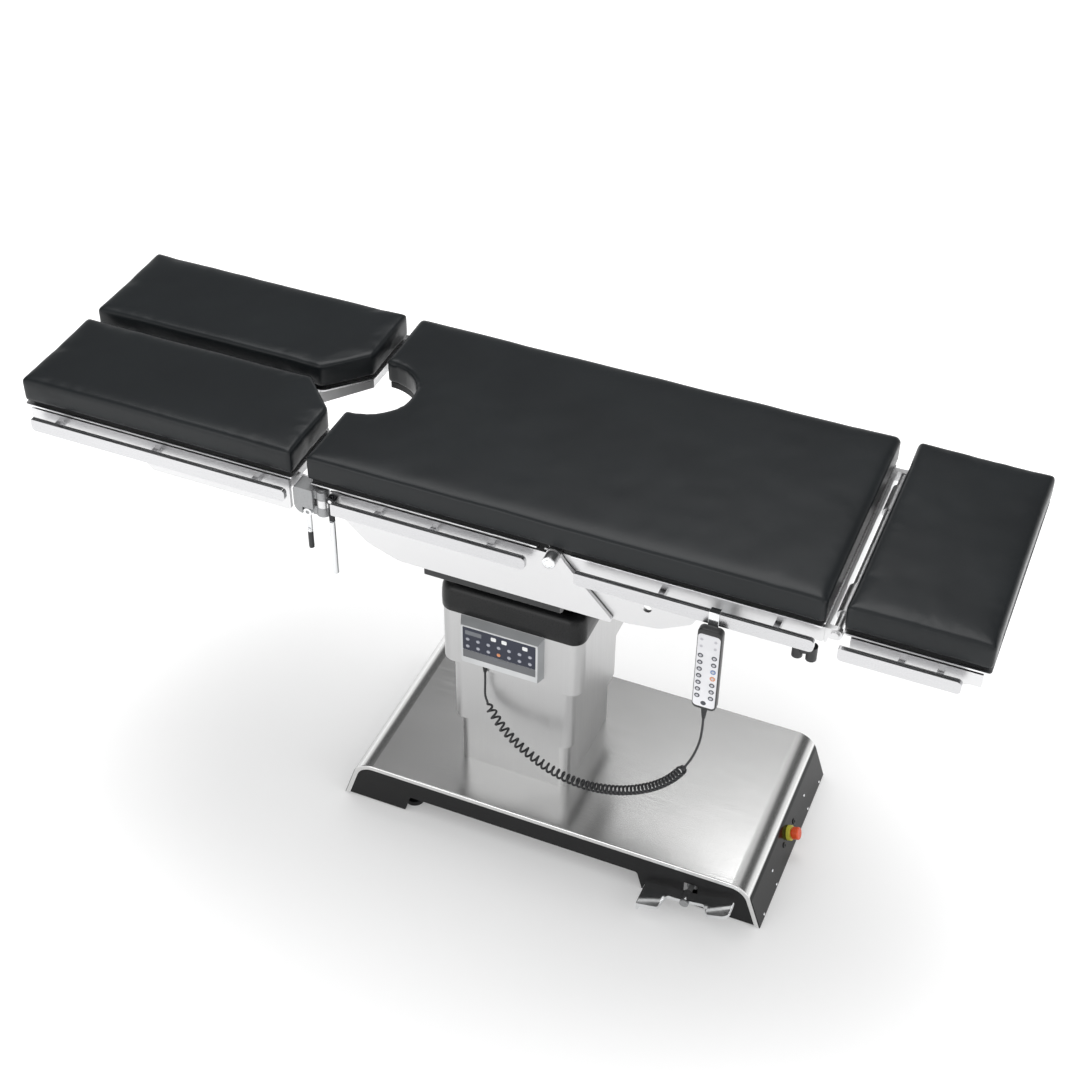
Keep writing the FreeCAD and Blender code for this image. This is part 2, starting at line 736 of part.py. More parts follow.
def cross_member(x0, reach):
    return block(x0, x0 + cross_width, -reach - 1, reach + 1, frame_top - flange_thickness - cross_height,
                 frame_top - flange_thickness)


seat_low = frame_top - seat_plate_depth
seat_curve_x = seat_x0 + 65
parting_low_x = back_x + 128
parting_mid_x = back_x + 36
parting_mid_z = back_z - 26
seat_plate = prism_xz([
    (seat_curve_x, frame_top, 4),
    (seat_curve_x, frame_top - 44, 12),
    (seat_x0 + 128, frame_top - 104, 60),
    (seat_x0 + 196, seat_low, 60),
    (parting_low_x, seat_low, 6),
    (parting_mid_x, parting_mid_z, 10),
    (back_x + 22, back_z - 10, 6),
    (back_x + 14, frame_top, 0),
], -plate_y1, -plate_y0)
seat_ear = rod(back_x, -plate_y1, back_z, hinge_ear_radius, plate_thickness, Y_AXIS)
seat_plate = joined([seat_plate, seat_ear])
seat_plate = seat_plate.cut(block(back_x - 60, back_x + 60, -plate_y1 - 1, -plate_y0 + 1, pad_low - 0.5,
                                  pad_low + 40))
back_pin = rod(back_x, -plate_y1 - 3, back_z, hinge_pin_radius, plate_y1 + 3 - inner_y0 + 3, Y_AXIS)
pin_head = rod(back_x, -plate_y1 - hinge_head_reach, back_z, hinge_head_radius, hinge_head_reach - 1, Y_AXIS)
pin_head = soften(pin_head, 2, lambda e: e.Closed and e.CenterOfMass.y < -plate_y1 - hinge_head_reach + 1)
swivel_x = seat_x0 + swivel_from_seat
swivel_y = -(plate_y0 + plate_y1) / 2 + 1
tilt_x = seat_x0 - leg_tilt_from_seat
tilt_z = pad_low - leg_tilt_drop
knuckle_mid = tilt_z - 3
seat_knuckle = rod(swivel_x, swivel_y, knuckle_mid - knuckle_height / 2, knuckle_radius, knuckle_height,
                   Z_AXIS)
knuckle_web = block(swivel_x, seat_curve_x + 6, swivel_y - 7, swivel_y + 7,
                    knuckle_mid - knuckle_height / 2, knuckle_mid + knuckle_height / 2)
block_low = tilt_z - 34
block_high = block_low + leg_block_height
swivel_pin = rod(swivel_x, swivel_y, block_low - 1, swivel_pin_radius, leg_block_height, Z_AXIS)
seat_flange_x1 = back_x - hinge_ear_radius - 7
runner_x0 = back_x - 7 - runner_length
runner_top = slide_rail_high + side_gap + runner_wall
half_rail = slide_rail_width / 2 + side_gap
runner = joined([
    block(runner_x0, runner_x0 + runner_length, -slide_rail_y - half_rail - runner_wall,
          -slide_rail_y + half_rail + runner_wall, slide_rail_high + side_gap, runner_top),
    block(runner_x0, runner_x0 + runner_length, -slide_rail_y - half_rail - runner_wall,
          -slide_rail_y - half_rail, tray_high + 4, runner_top),
    block(runner_x0, runner_x0 + runner_length, -slide_rail_y + half_rail,
          -slide_rail_y + half_rail + runner_wall, tray_high + 4, runner_top),
])
seat_cross_x = [seat_x0 + 115, seat_x0 + 290, back_x - 60]
hangers = [block(x, x + cross_width, -slide_rail_y - 12, -slide_rail_y + 12, runner_top - 1,
                 frame_top - flange_thickness - 1) for x in seat_cross_x]
seat_half = [seat_plate, back_pin, pin_head, seat_knuckle, knuckle_web, swivel_pin, runner,
             flange(seat_curve_x, seat_flange_x1, plate_y1)] + hangers
seat_frame = joined(seat_half + [across(s) for s in seat_half]
                    + [cross_member(x, plate_y0) for x in seat_cross_x])
keep("seat_frame", seat_frame)

back_low_x0 = back_x + 88
back_end = body_x1 - 3
back_plate = prism_xz([
    (back_x + 12, frame_top, 0),
    (back_end, frame_top, 4),
    (back_end, frame_top - plate_depth, 6),
    (back_x + 302, frame_top - plate_depth, 8),
    (back_x + 276, frame_top - 86, 16),
    (back_x + 214, seat_low + 9, 50),
    (back_x + 150, seat_low, 30),
    (parting_low_x - 20, seat_low + 2, 6),
    (parting_mid_x - 16, parting_mid_z - 8, 10),
    (back_x - 2, back_z - 12, 0),
], -inner_y1, -inner_y0)
back_ear = rod(back_x, -inner_y1, back_z, hinge_ear_radius, plate_thickness, Y_AXIS)
back_plate = joined([back_plate, back_ear])
back_plate = back_plate.cut(rod(back_x, -inner_y1 - 1, back_z, hinge_pin_radius + pin_gap,
                                plate_thickness + 2, Y_AXIS))
cylinder_eye = rod(back_x + 187, -inner_y1 - 1, back_z - 76, 9, plate_thickness + 2, Y_AXIS)
back_plate = back_plate.cut(cylinder_eye)
head_hinge_x = body_x1 + pad_gap - head_hinge_gap_share
head_hinge_z = pad_low - head_hinge_drop
socket_y0 = inner_y0 - 32
rod_y = inner_y0 - 16
socket_low = frame_top - plate_depth - 2
knob_x = body_x1 - 39
clamp_block = block(knob_x - 40, back_end, -inner_y0 - 1, -socket_y0, socket_low,
                    frame_top - flange_thickness)
rod_z = (socket_low + frame_top - flange_thickness) / 2 - 3
rod_hole = block(knob_x - 60, back_end + 2, -rod_y - plug_rod_side / 2 - side_gap,
                 -rod_y + plug_rod_side / 2 + side_gap, rod_z - plug_rod_side / 2 - side_gap,
                 rod_z + plug_rod_side / 2 + side_gap)
clamp_hole = rod(knob_x, -rod_y, socket_low - 2, 5 + pin_gap, 20, Z_AXIS)
clamp_block = clamp_block.cut(rod_hole).cut(clamp_hole)
back_half = [back_plate, clamp_block, flange(back_x + 22, back_end, inner_y1)]
back_cross_x = [back_x + 78, back_x + 296]
end_member = block(back_end - 12, back_end, -socket_y0 - 1, socket_y0 + 1,
                   frame_top - flange_thickness - cross_height, frame_top - flange_thickness)
back_frame = joined(back_half + [across(s) for s in back_half]
                    + [cross_member(x, inner_y0) for x in back_cross_x] + [end_member])
keep("back_frame", back_frame)

# Head section carrier: plug rods, end plate, lugs and the hinge bar
carrier_plate_x1 = back_end + side_gap + 5
lug_y1 = inner_y1
lug_y0 = lug_y1 - 12
lug = prism_xz([
    (back_end + side_gap, head_hinge_z - 12, 0),
    (head_hinge_x, head_hinge_z - sleeve_radius, 0),
    (head_hinge_x + sleeve_radius, head_hinge_z - sleeve_radius, sleeve_radius - 0.5),
    (head_hinge_x + sleeve_radius, head_hinge_z + sleeve_radius - 2, sleeve_radius - 2),
    (head_hinge_x, head_hinge_z + sleeve_radius - 2, 0),
    (back_end + side_gap, head_hinge_z + sleeve_radius - 2, 0),
], -lug_y1, -lug_y0)
plug_rod = block(carrier_plate_x1 - plug_rod_length, carrier_plate_x1, -rod_y - plug_rod_side / 2,
                 -rod_y + plug_rod_side / 2, rod_z - plug_rod_side / 2, rod_z + plug_rod_side / 2)
end_plate = block(back_end + side_gap, carrier_plate_x1, -lug_y1, lug_y1, head_hinge_z - end_plate_drop,
                  head_hinge_z + sleeve_radius - 3)
hinge_bar = rod(head_hinge_x, -lug_y1 - 5, head_hinge_z, head_bar_radius, 2 * lug_y1 + 10, Y_AXIS)
keep("head_carrier", joined([lug, plug_rod, across(lug), across(plug_rod), end_plate, hinge_bar]))


def clamp_knob():
    """Two-lobed knob on a short stem, under the back section's end block."""
    lobe_gap = knob_radius * 0.56
    lobe = knob_radius - lobe_gap
    top = socket_low - knob_drop
    body = [rod(knob_x, -rod_y, top - knob_height * 0.55, knob_radius * 0.5, knob_height * 0.55, Z_AXIS)]
    for side in (-1, 1):
        body.append(rod(knob_x + side * lobe_gap, -rod_y, top - knob_height, lobe,
                        knob_height * 0.8, Z_AXIS))
    body.append(rod(knob_x, -rod_y, top - 1, 5, knob_drop + 1 + (rod_z - plug_rod_side / 2)
                    - socket_low - side_gap, Z_AXIS))
    return joined(body)


keep("head_knob_left", clamp_knob())
keep("head_knob_right", across(clamp_knob()))

head_frame_x0 = head_hinge_x + 30
head_frame_x1 = head_x1 - 16
head_plate_shape = prism_xz([
    (head_frame_x0, frame_top, 3), (head_frame_x1, frame_top, 3),
    (head_frame_x1, frame_top - plate_depth + 14, 6), (head_frame_x1 - 36, frame_top - plate_depth, 20),
    (head_frame_x0, frame_top - plate_depth, 6)], -plate_y1, -plate_y0)
sleeve_y0 = 118.0
sleeve_y1 = 198.0
sleeve_arm = block(head_hinge_x, head_frame_x0 + 4, -sleeve_y1 + 10, -sleeve_y0 - 10, head_hinge_z - 6,
                   head_hinge_z + 6)
sleeve = joined([rod(head_hinge_x, -sleeve_y1, head_hinge_z, sleeve_radius, sleeve_y1 - sleeve_y0, Y_AXIS),
                 sleeve_arm])
sleeve = sleeve.cut(rod(head_hinge_x, -sleeve_y1 - 1, head_hinge_z, head_bar_radius + pin_gap,
                        sleeve_y1 - sleeve_y0 + 2, Y_AXIS))
head_half = [head_plate_shape, sleeve, flange(head_frame_x0, head_frame_x1, plate_y1)]
head_cross_x = [head_frame_x0, head_frame_x1 - cross_width]
head_frame = joined(head_half + [across(s) for s in head_half]
                    + [cross_member(x, plate_y0) for x in head_cross_x])
keep("head_frame", head_frame)

# Leg joints and leg frames, drawn for the left leg and mirrored
pivot_gap = side_gap
low_knuckle_top = knuckle_mid - knuckle_height / 2 - pivot_gap
high_knuckle_low = knuckle_mid + knuckle_height / 2 + pivot_gap
leg_block = prism_xz([
    (tilt_x - leg_block_width / 2 - 1, block_low, leg_block_corner),
    (tilt_x + leg_block_width / 2 - 1, block_low, 4),
    (tilt_x + leg_block_width / 2 - 1, block_high, 4),
    (tilt_x - leg_block_width / 2 - 1, block_high, 6),
], -leg_block_outer, -leg_block_inner)
leg_block_parts = [leg_block]
for z0, z1 in ((block_low, low_knuckle_top), (high_knuckle_low, block_high - 3)):
    leg_block_parts.append(rod(swivel_x, swivel_y, z0, knuckle_radius, z1 - z0, Z_AXIS))
    leg_block_parts.append(block(tilt_x + leg_block_width / 2 - 5, swivel_x, swivel_y - 10, swivel_y + 10,
                                 z0, z1))
tilt_pin = rod(tilt_x, -leg_block_inner - 1, tilt_z, leg_pin_radius, leg_ear_thickness + 5, Y_AXIS)
short_lever_x = tilt_x + 7
short_lever_y = -leg_block_outer + lever_slot_depth / 2 - 3
short_hub_z = block_low + 6
slot_y1 = short_lever_y + short_lever_radius + side_gap
lever_slot = block(short_lever_x - 11, short_lever_x + 16, -leg_block_outer - 1, slot_y1, block_low - 1,
                   block_low + lever_slot_height)
leg_block_parts[0] = leg_block.cut(lever_slot)
lever_pin = rod(short_lever_x, -leg_block_outer + 1, short_hub_z, lever_pin_radius,
                slot_y1 + leg_block_outer, Y_AXIS)
leg_swivel = joined(leg_block_parts)
leg_swivel = leg_swivel.cut(rod(swivel_x, swivel_y, block_low - 5, swivel_pin_radius + pin_gap,
                                leg_block_height + 10, Z_AXIS))
leg_swivel = joined([leg_swivel, tilt_pin, lever_pin])

leg_plate_x1 = tilt_x - 37
leg_plate_x0 = leg_end_x + 16
leg_plate_shape = prism_xz([
    (leg_plate_x0, frame_top, 3), (leg_plate_x0, frame_top - plate_depth + 8, 6),
    (leg_plate_x0 + 24, frame_top - plate_depth, 10),
    (leg_plate_x1 - 350, frame_top - plate_depth, 10), (leg_plate_x1 - 318, frame_top - leg_plate_depth, 10),
    (leg_plate_x1, frame_top - leg_plate_depth, 5), (leg_plate_x1, frame_top, 3)], -plate_y1, -plate_y0)
leg_inner_y = leg_channel / 2 + 14
inner_plate_x1 = leg_pad_x1 - leg_corner_along - 16
leg_inner_plate = block(leg_plate_x0, inner_plate_x1, -leg_inner_y - plate_thickness, -leg_inner_y,
                        frame_top - plate_depth, frame_top)
leg_cross_x = [leg_plate_x0, leg_plate_x0 + 270]
near_member_x = leg_plate_x1 - 36
leg_members = [block(x, x + cross_width, -plate_y0 - 1, -leg_inner_y - 1,
                     frame_top - flange_thickness - cross_height, frame_top - flange_thickness)
               for x in leg_cross_x]
near_member_y = leg_channel / 2 + leg_corner_across + 24
leg_members.append(block(near_member_x, near_member_x + cross_width, -plate_y0 - 1, -near_member_y,
                         frame_top - flange_thickness - cross_height, frame_top - flange_thickness))
slant = prism_xy([
    (near_member_x, -near_member_y - 18, 0), (near_member_x + cross_width, -near_member_y - 14, 0),
    (near_member_x + cross_width, -near_member_y, 0),
    (inner_plate_x1, -leg_inner_y, 0), (inner_plate_x1 - 24, -leg_inner_y, 0)],
    frame_top - flange_thickness - cross_height, frame_top - flange_thickness)
leg_members.append(slant)
ear_y1 = leg_block_inner - side_gap
ear_y0 = ear_y1 - leg_ear_thickness
leg_ear = prism_xz([
    (tilt_x, tilt_z - leg_ear_radius, 0),
    (tilt_x + leg_ear_radius, tilt_z - leg_ear_radius, leg_ear_radius - 0.5),
    (tilt_x + leg_ear_radius, tilt_z + leg_ear_radius, leg_ear_radius - 0.5),
    (tilt_x, tilt_z + leg_ear_radius, 0),
    (near_member_x + cross_width - 1, frame_top - flange_thickness, 0),
    (near_member_x + cross_width - 1, frame_top - flange_thickness - cross_height, 0),
], -ear_y1, -ear_y0)
leg_ear = leg_ear.cut(rod(tilt_x, -ear_y1 - 1, tilt_z, leg_pin_radius + pin_gap, leg_ear_thickness + 2,
                          Y_AXIS))
leg_frame = joined([leg_plate_shape, leg_inner_plate, leg_ear,
                    flange(leg_plate_x0, leg_plate_x1, plate_y1)] + leg_members)


def side_lever(x, y, z_hub, length, radius, hub_y0, hub_y1, flat_share):
    """Hub, shank and round grip of a clamping lever that hangs from its hub."""
    hub_shape = rod(x, hub_y0, z_hub, 9, hub_y1 - hub_y0, Y_AXIS)
    shank = block(x - 5, x + 5, y - 3, y + 3, z_hub - length * flat_share - 4, z_hub)
    grip = rod(x, y, z_hub - length, radius, length * (1 - flat_share), Z_AXIS)
    grip = soften(grip, 4, lambda e: e.Closed and e.CenterOfMass.z < z_hub - length + 1)
    return joined([hub_shape, shank, grip])


long_lever_x = seat_x0 + long_lever_from_seat
long_hub_z = frame_top - 12
long_lever_y = -plate_y1 - lever_radius - 5
long_lever = side_lever(long_lever_x, long_lever_y, long_hub_z, long_lever_length, lever_radius,
                        long_lever_y - 4, -plate_y1 - side_gap, 0.28)
long_lever = long_lever.cut(rod(long_lever_x, -plate_y1 - 40, long_hub_z, lever_pin_radius + pin_gap, 60,
                                Y_AXIS))
short_lever = side_lever(short_lever_x, short_lever_y, short_hub_z, short_lever_length, short_lever_radius,
                         short_lever_y - short_lever_radius, short_lever_y + short_lever_radius, 0.45)
short_lever = short_lever.cut(rod(short_lever_x, short_lever_y - 40, short_hub_z,
                                  lever_pin_radius + pin_gap, 80, Y_AXIS))
lever_boss = joined([
    block(long_lever_x - 7, seat_curve_x + 8, -plate_y1, -plate_y0, long_hub_z - 10, frame_top),
    rod(long_lever_x, long_lever_y - 5, long_hub_z, lever_pin_radius, 5 - long_lever_y - plate_y0, Y_AXIS),
])
nodes["seat_frame"] = joined([nodes["seat_frame"], lever_boss, across(lever_boss)])
for side, turn in (("left", lambda s: s), ("right", across)):
    keep("leg_swivel_" + side, turn(leg_swivel))
    keep("leg_frame_" + side, turn(leg_frame))
    keep("leg_tilt_lever_" + side, turn(short_lever))
    keep("leg_lock_lever_" + side, turn(long_lever))


# Accessory rails: a bar on short standoffs along each section
def rail(x0, x1, stand_places, stand_y, low_corner):
    bar = prism_xz([(x0, rail_z1, 2), (x0, rail_z0, rail_end_radius if low_corner else 2),
                    (x1, rail_z0, rail_end_radius), (x1, rail_z1, rail_end_radius)], -rail_y1, -rail_y0)
    middle = (rail_z0 + rail_z1) / 2 + 5
    posts = [block(x - standoff_width / 2, x + standoff_width / 2, -rail_y0 - 1, -stand_y,
                   middle - standoff_height / 2, middle + standoff_height / 2) for x in stand_places]
    return joined([bar] + posts)


def stands(first, pitch, count):
    return [first + pitch * i for i in range(count)]


leg_rail = rail(leg_end_x + leg_rail_inset, leg_plate_x1 + 4,
                stands(leg_end_x + leg_stand_first, leg_stand_pitch, 3), plate_y1, True)
for side, turn in (("left", lambda s: s), ("right", across)):
    keep("leg_rail_" + side, turn(leg_rail))
seat_rail = rail(seat_x0 + seat_rail_inset, back_x - seat_rail_hinge_gap,
                 stands(seat_x0 + seat_stand_first, seat_stand_pitch, 3), plate_y1, False)
keep("seat_rails", *both_sides(seat_rail))
back_rail = rail(back_x + back_rail_hinge_gap, body_x1 - back_rail_inset,
                 stands(back_x + back_stand_first, back_stand_pitch, 2), inner_y1, True)
keep("back_rails", *both_sides(back_rail))
head_rail = rail(head_x0 + 4, head_x1 - head_rail_inset,
                 stands(head_x0 + head_stand_first, head_stand_pitch, 2), plate_y1, True)
keep("head_rails", *both_sides(head_rail))

# Boards and pads
cutout_x = seat_x0 + cutout_inset
seat_board_x1 = back_x - hinge_ear_radius - 1
seat_board = block(seat_x0 + 10, seat_board_x1, -board_half, board_half, frame_top, pad_low)
seat_board = seat_board.cut(rod(cutout_x, 0, frame_top - 1, cutout_radius + 6, board_thickness + 2, Z_AXIS))
keep("seat_board", seat_board)
back_board_x0 = back_x + hinge_ear_radius + 1
keep("back_board", block(back_board_x0, body_x1 - 8, -board_half, board_half, frame_top, pad_low))
keep("head_board", block(head_x0 + 4, head_x1 - 10, -board_half, board_half, frame_top, pad_low))


def top_edge(e):
    return e.BoundBox.ZMin > pad_top - 0.01


def bend_face_x(z, offset):
    return offset * (z - back_z) * math.tan(bend_angle) + back_x


def wedge_pad(x_far, offset):
    low_x = bend_face_x(pad_low, offset)
    high_x = bend_face_x(pad_top, offset)
    return prism_xz([(x_far, pad_low, 0), (low_x, pad_low, 0), (high_x, pad_top, 0), (x_far, pad_top, 0)],
                    -half_width, half_width)


seat_pad = wedge_pad(seat_x0, -1)
seat_pad = seat_pad.cut(rod(cutout_x, 0, pad_low - 1, cutout_radius, pad_thickness + 2, Z_AXIS))
seat_pad = soften(seat_pad, pad_edge_radius, lambda e: top_edge(e) and e.CenterOfMass.x < back_x - 70)
keep("seat_pad", seat_pad)
back_pad = wedge_pad(body_x1, 1)
back_pad = soften(back_pad, pad_edge_radius, lambda e: top_edge(e) and e.CenterOfMass.x > back_x + 70)
keep("back_pad", back_pad)
bend_low = (pad_low - back_z) * math.tan(bend_angle)
bend_high = (pad_top - back_z) * math.tan(bend_angle)
bend = prism_xz([(back_x - bend_low + side_gap, pad_low, 0), (back_x + bend_low - side_gap, pad_low, 0),
                 (back_x + bend_high - side_gap, pad_top, 0), (back_x - bend_high + side_gap, pad_top, 0)],
                -half_width, half_width)
keep("mattress_bend", bend)
head_pad = block(head_x0, head_x1, -half_width, half_width, pad_low, pad_top)
keep("head_pad", soften(head_pad, pad_edge_radius, top_edge))


def leg_outline(inset, corner):
    y_in = -leg_channel / 2 - inset
    y_out = -half_width + inset
    x0 = leg_end_x + inset
    x1 = leg_pad_x1 - inset * 0.5
    return [(x0, y_out, corner), (x1, y_out, corner), (x1, -leg_channel / 2 - leg_corner_across, 20),
            (x1 - leg_corner_along, y_in, 20), (x0, y_in, corner)]


leg_pad = prism_xy(leg_outline(0, 8), pad_low, pad_top)
leg_pad = soften(leg_pad, pad_edge_radius, top_edge)
leg_board = prism_xy(leg_outline(board_inset, 3), frame_top, pad_low)
for side, turn in (("left", lambda s: s), ("right", across)):
    keep("leg_pad_" + side, turn(leg_pad), turn(leg_board))

# Hand control hung on the back rail
hand_y1 = -rail_y1 - handset_gap
hand_y0 = hand_y1 - handset_thickness
hand_x0 = handset_x - handset_width / 2
hand_x1 = handset_x + handset_width / 2
hand_top = rail_z1 - handset_drop
handset_low = hand_top - handset_height
shell = prism_xz([(hand_x0, handset_low, 9), (hand_x1, handset_low, 9), (hand_x1, hand_top, 9),
                  (hand_x0, hand_top, 9)], hand_y0, hand_y1)
shell = soften(shell, 4, lambda e: abs(e.BoundBox.YMin - hand_y0) < 0.01 and abs(e.BoundBox.YMax - hand_y0)
               < 0.01)
hook_top = rail_z1 + side_gap + hook_sheet
hook_y0 = -rail_y1 - side_gap - hook_sheet
hook = prism_yz([
    (hook_y0, handset_low + 60, 0), (-rail_y1 - side_gap, handset_low + 60, 0),
    (-rail_y1 - side_gap, rail_z1 + side_gap, 0), (-rail_y0 + side_gap, rail_z1 + side_gap, 0),
    (-rail_y0 + side_gap, rail_z1 - 16, 0), (-rail_y0 + side_gap + hook_sheet, rail_z1 - 16, 0),
    (-rail_y0 + side_gap + hook_sheet, hook_top, 2), (hook_y0, hook_top, 2)],
    handset_x - hook_width / 2, handset_x + hook_width / 2)
lead_y = (hand_y0 + hand_y1) / 2
relief_length = 30.0
relief = Part.makeCone(lead_radius + 1.2, 7, relief_length,
                       V(handset_x, lead_y, handset_low - relief_length), Z_AXIS)
keep("handset_shell", joined([shell, hook, relief]))
face = prism_xz([(hand_x0 + 4, handset_low + 6, 6), (hand_x1 - 4, handset_low + 6, 6),
                 (hand_x1 - 4, hand_top - 12, 6), (hand_x0 + 4, hand_top - 12, 6)],
                hand_y0 - 1, hand_y0)
keys = []
key_step = (handset_height - 62) / 6
for i in range(7):
    key_z = handset_low + 28 + i * key_step
    for key_x in (handset_x - 10, handset_x + 10):
        keys.append(rod(key_x, hand_y0 - 1.9, key_z, key_radius, 0.9, Y_AXIS))
keys.append(rod(handset_x, hand_y0 - 1.9, handset_low + 16, key_radius, 0.9, Y_AXIS))
keep("handset_keypad", face, *keys)

# Cord between the panel plug and the hand control: lead, curly part, lead
low_route = [
    V(socket_x, socket_y, plug_low),
    V(socket_x, socket_y, 394),
    V(-20, -159, 360),
]
curl_route = [
    V(-5, -164, 328),
    V(30, -176, 293),
    V(85, -191, 266),
    V(155, -210, 252),
    V(228, -230, 262),
    V(294, -249, 292),
    V(358, -267, 336),
    V(418, -284, 396),
    V(458, -294, 456),
]
high_route = [
    V(484, -299, 516),
    V(497, lead_y, 566),
    V(handset_x, lead_y, 604),
    V(handset_x, lead_y, handset_low - relief_length),
]


def cord_path(points, first, last):
    """Straight runs joined by tangent arcs, each as large as its two runs allow."""
    stops = []
    radii = []
    for i in range(1, len(points) - 1):
        a = points[i - 1] - points[i]
        b = points[i + 1] - points[i]
        shorter = min(a.Length, b.Length)
        a.normalize()
        b.normalize()
        inner = a.getAngle(b)
        turn = math.pi - inner
        if turn < 1e-4:
            stops.append((points[i], None, points[i]))
            continue
        reach = 0.45 * shorter
        radii.append(reach / math.tan(turn / 2))
        middle = a + b
        middle.normalize()
        centre = points[i] + middle * (reach / math.cos(inner / 2))
        stops.append((points[i] + a * reach, centre - middle * radii[-1], points[i] + b * reach))
    edges = []
    here = first
    for start, via, end in stops:
        if (start - here).Length > 1e-6:
            edges.append(Part.LineSegment(here, start).toShape())
        if via is not None:
            edges.append(arc_edge(start, via, end))
        here = end
    edges.append(Part.LineSegment(here, last).toShape())
    return Part.Wire(edges), radii


def cord_tube(name, points, radius):
    path, radii = cord_path(points, points[0], points[-1])
    direction = points[1] - points[0]
    ring = Part.Wire(Part.makeCircle(radius, points[0], direction))
    pipe = path.makePipeShell([ring], True, True)
    length = sum(e.Length for e in path.Edges)
    share = pipe.Volume / (math.pi * radius ** 2 * length)
    print(name, "length %.0f" % length, "volume share %.3f" % share, "radii", [round(r) for r in radii])
    keep(name, pipe)
    return length


def between(a, b):
    return (a + b) * 0.5


low_join = between(low_route[-1], curl_route[0])
high_join = between(curl_route[-1], high_route[0])
lead_low = low_route + [low_join]
curl = [low_join] + curl_route + [high_join]
lead_high = [high_join] + high_route
cord_tube("cord_lead_low", lead_low, lead_radius)
cord_tube("cord_curl", curl, curl_radius)
cord_tube("cord_lead_high", lead_high, lead_radius)

os.makedirs("parts", exist_ok=True)
for name, shape in sorted(nodes.items()):
    if not shape.isValid():
        print("not valid:", name)
    shape.exportStep("parts/" + name + ".step")
print(len(nodes), "nodes")
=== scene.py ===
# %% [markdown]
# This lesson dresses an electric operating table. The metal work comes from a CAD frame that is already
# to size, so Blender's job is what the frame lacks: soft pads, the rubber boot, the curly cord, the keys
# and lamps, and finishes that read as steel, leathercloth and moulded plastic.

# %% Load the frame
import json
import math

import bmesh
import bpy
from mathutils import Matrix, Vector, noise


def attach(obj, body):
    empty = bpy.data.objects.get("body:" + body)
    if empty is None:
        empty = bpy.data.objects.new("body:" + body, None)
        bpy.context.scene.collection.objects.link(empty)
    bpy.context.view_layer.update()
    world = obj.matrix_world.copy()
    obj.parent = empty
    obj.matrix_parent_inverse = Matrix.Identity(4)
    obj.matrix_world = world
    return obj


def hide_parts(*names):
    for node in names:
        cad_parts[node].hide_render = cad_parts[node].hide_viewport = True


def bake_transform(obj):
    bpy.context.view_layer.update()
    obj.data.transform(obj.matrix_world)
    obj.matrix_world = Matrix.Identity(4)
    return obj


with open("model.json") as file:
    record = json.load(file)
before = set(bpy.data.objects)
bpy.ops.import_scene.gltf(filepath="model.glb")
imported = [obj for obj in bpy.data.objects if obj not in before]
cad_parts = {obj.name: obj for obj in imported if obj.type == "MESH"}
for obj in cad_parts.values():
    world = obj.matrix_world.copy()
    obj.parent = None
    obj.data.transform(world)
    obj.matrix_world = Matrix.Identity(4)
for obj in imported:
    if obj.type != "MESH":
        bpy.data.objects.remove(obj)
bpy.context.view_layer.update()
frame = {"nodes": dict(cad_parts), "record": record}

# %% [markdown]
# The camera comes first, because every later choice is judged through it. Its place was found by fitting
# the table's straight edges. A long lens keeps the far leg pad nearly as wide as the near one.

# %% Camera
camera_place = Vector((1.1626, -2.7389, 3.2171))
focal_pixels, photo_pixels = 1887.33, 1080
azimuth, elevation, roll = (math.radians(v) for v in (22.34, 40.49, 0.69))
back = Vector((math.sin(azimuth) * math.cos(elevation), -math.cos(azimuth) * math.cos(elevation),
               math.sin(elevation)))
level = Vector((math.cos(azimuth), math.sin(azimuth), 0))
upright = back.cross(level)
right = level * math.cos(roll) + upright * math.sin(roll)
up = upright * math.cos(roll) - level * math.sin(roll)
camera_data = bpy.data.cameras.new("camera")
camera_data.sensor_width = 36
camera_data.lens = focal_pixels / photo_pixels * camera_data.sensor_width
camera_data.clip_end = 60
camera = bpy.data.objects.new("camera", camera_data)
camera.matrix_world = Matrix.Translation(camera_place) @ Matrix((right, up, back)).transposed().to_4x4()
bpy.context.scene.collection.objects.link(camera)
bpy.context.scene.camera = camera
bpy.context.scene.view_settings.view_transform = "Standard"
print("lens", round(camera_data.lens, 1), "mm")

# %% [markdown]
# Every piece is made, shaded and given to a moving body in the same few steps, so those steps are written
# once here. Smooth shading with sharp edges kept by angle suits both sheet metal and mouldings.

# %% Small helpers for meshes
def add_object(name, data):
    thing = bpy.data.objects.new(name, data)
    bpy.context.scene.collection.objects.link(thing)
    return thing


def mesh_of(bm, name):
    """Closes the mesh code's work into a mesh whose faces point outwards."""
    bmesh.ops.recalc_face_normals(bm, faces=bm.faces)
    mesh = bpy.data.meshes.new(name)
    bm.to_mesh(mesh)
    bm.free()
    return mesh


def shade(mesh, angle=35):
    mesh.shade_smooth()
    mesh.set_sharp_from_angle(angle=math.radians(angle))


def piece_from(name, bm, material, angle=35):
    mesh = mesh_of(bm, name)
    mesh.materials.append(material)
    shade(mesh, angle)
    return add_object(name, mesh)


def fasten(piece, body, slot, *nodes):
    """Gives a rigid piece its body and hides the nodes that it stands for. slot is not used."""
    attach(piece, body)
    if nodes:
        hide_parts(*nodes)
    return piece


def join_into(bm, other):
    """Adds the faces of a second mesh in work to the first."""
    mesh = mesh_of(other, "part")
    bm.from_mesh(mesh)
    bpy.data.meshes.remove(mesh)


def plain_copy(thing, name):
    """The shape of an object with its modifiers, as a mesh without any."""
    graph = bpy.context.evaluated_depsgraph_get()
    mesh = bpy.data.meshes.new_from_object(thing.evaluated_get(graph))
    mesh.name = name
    return mesh


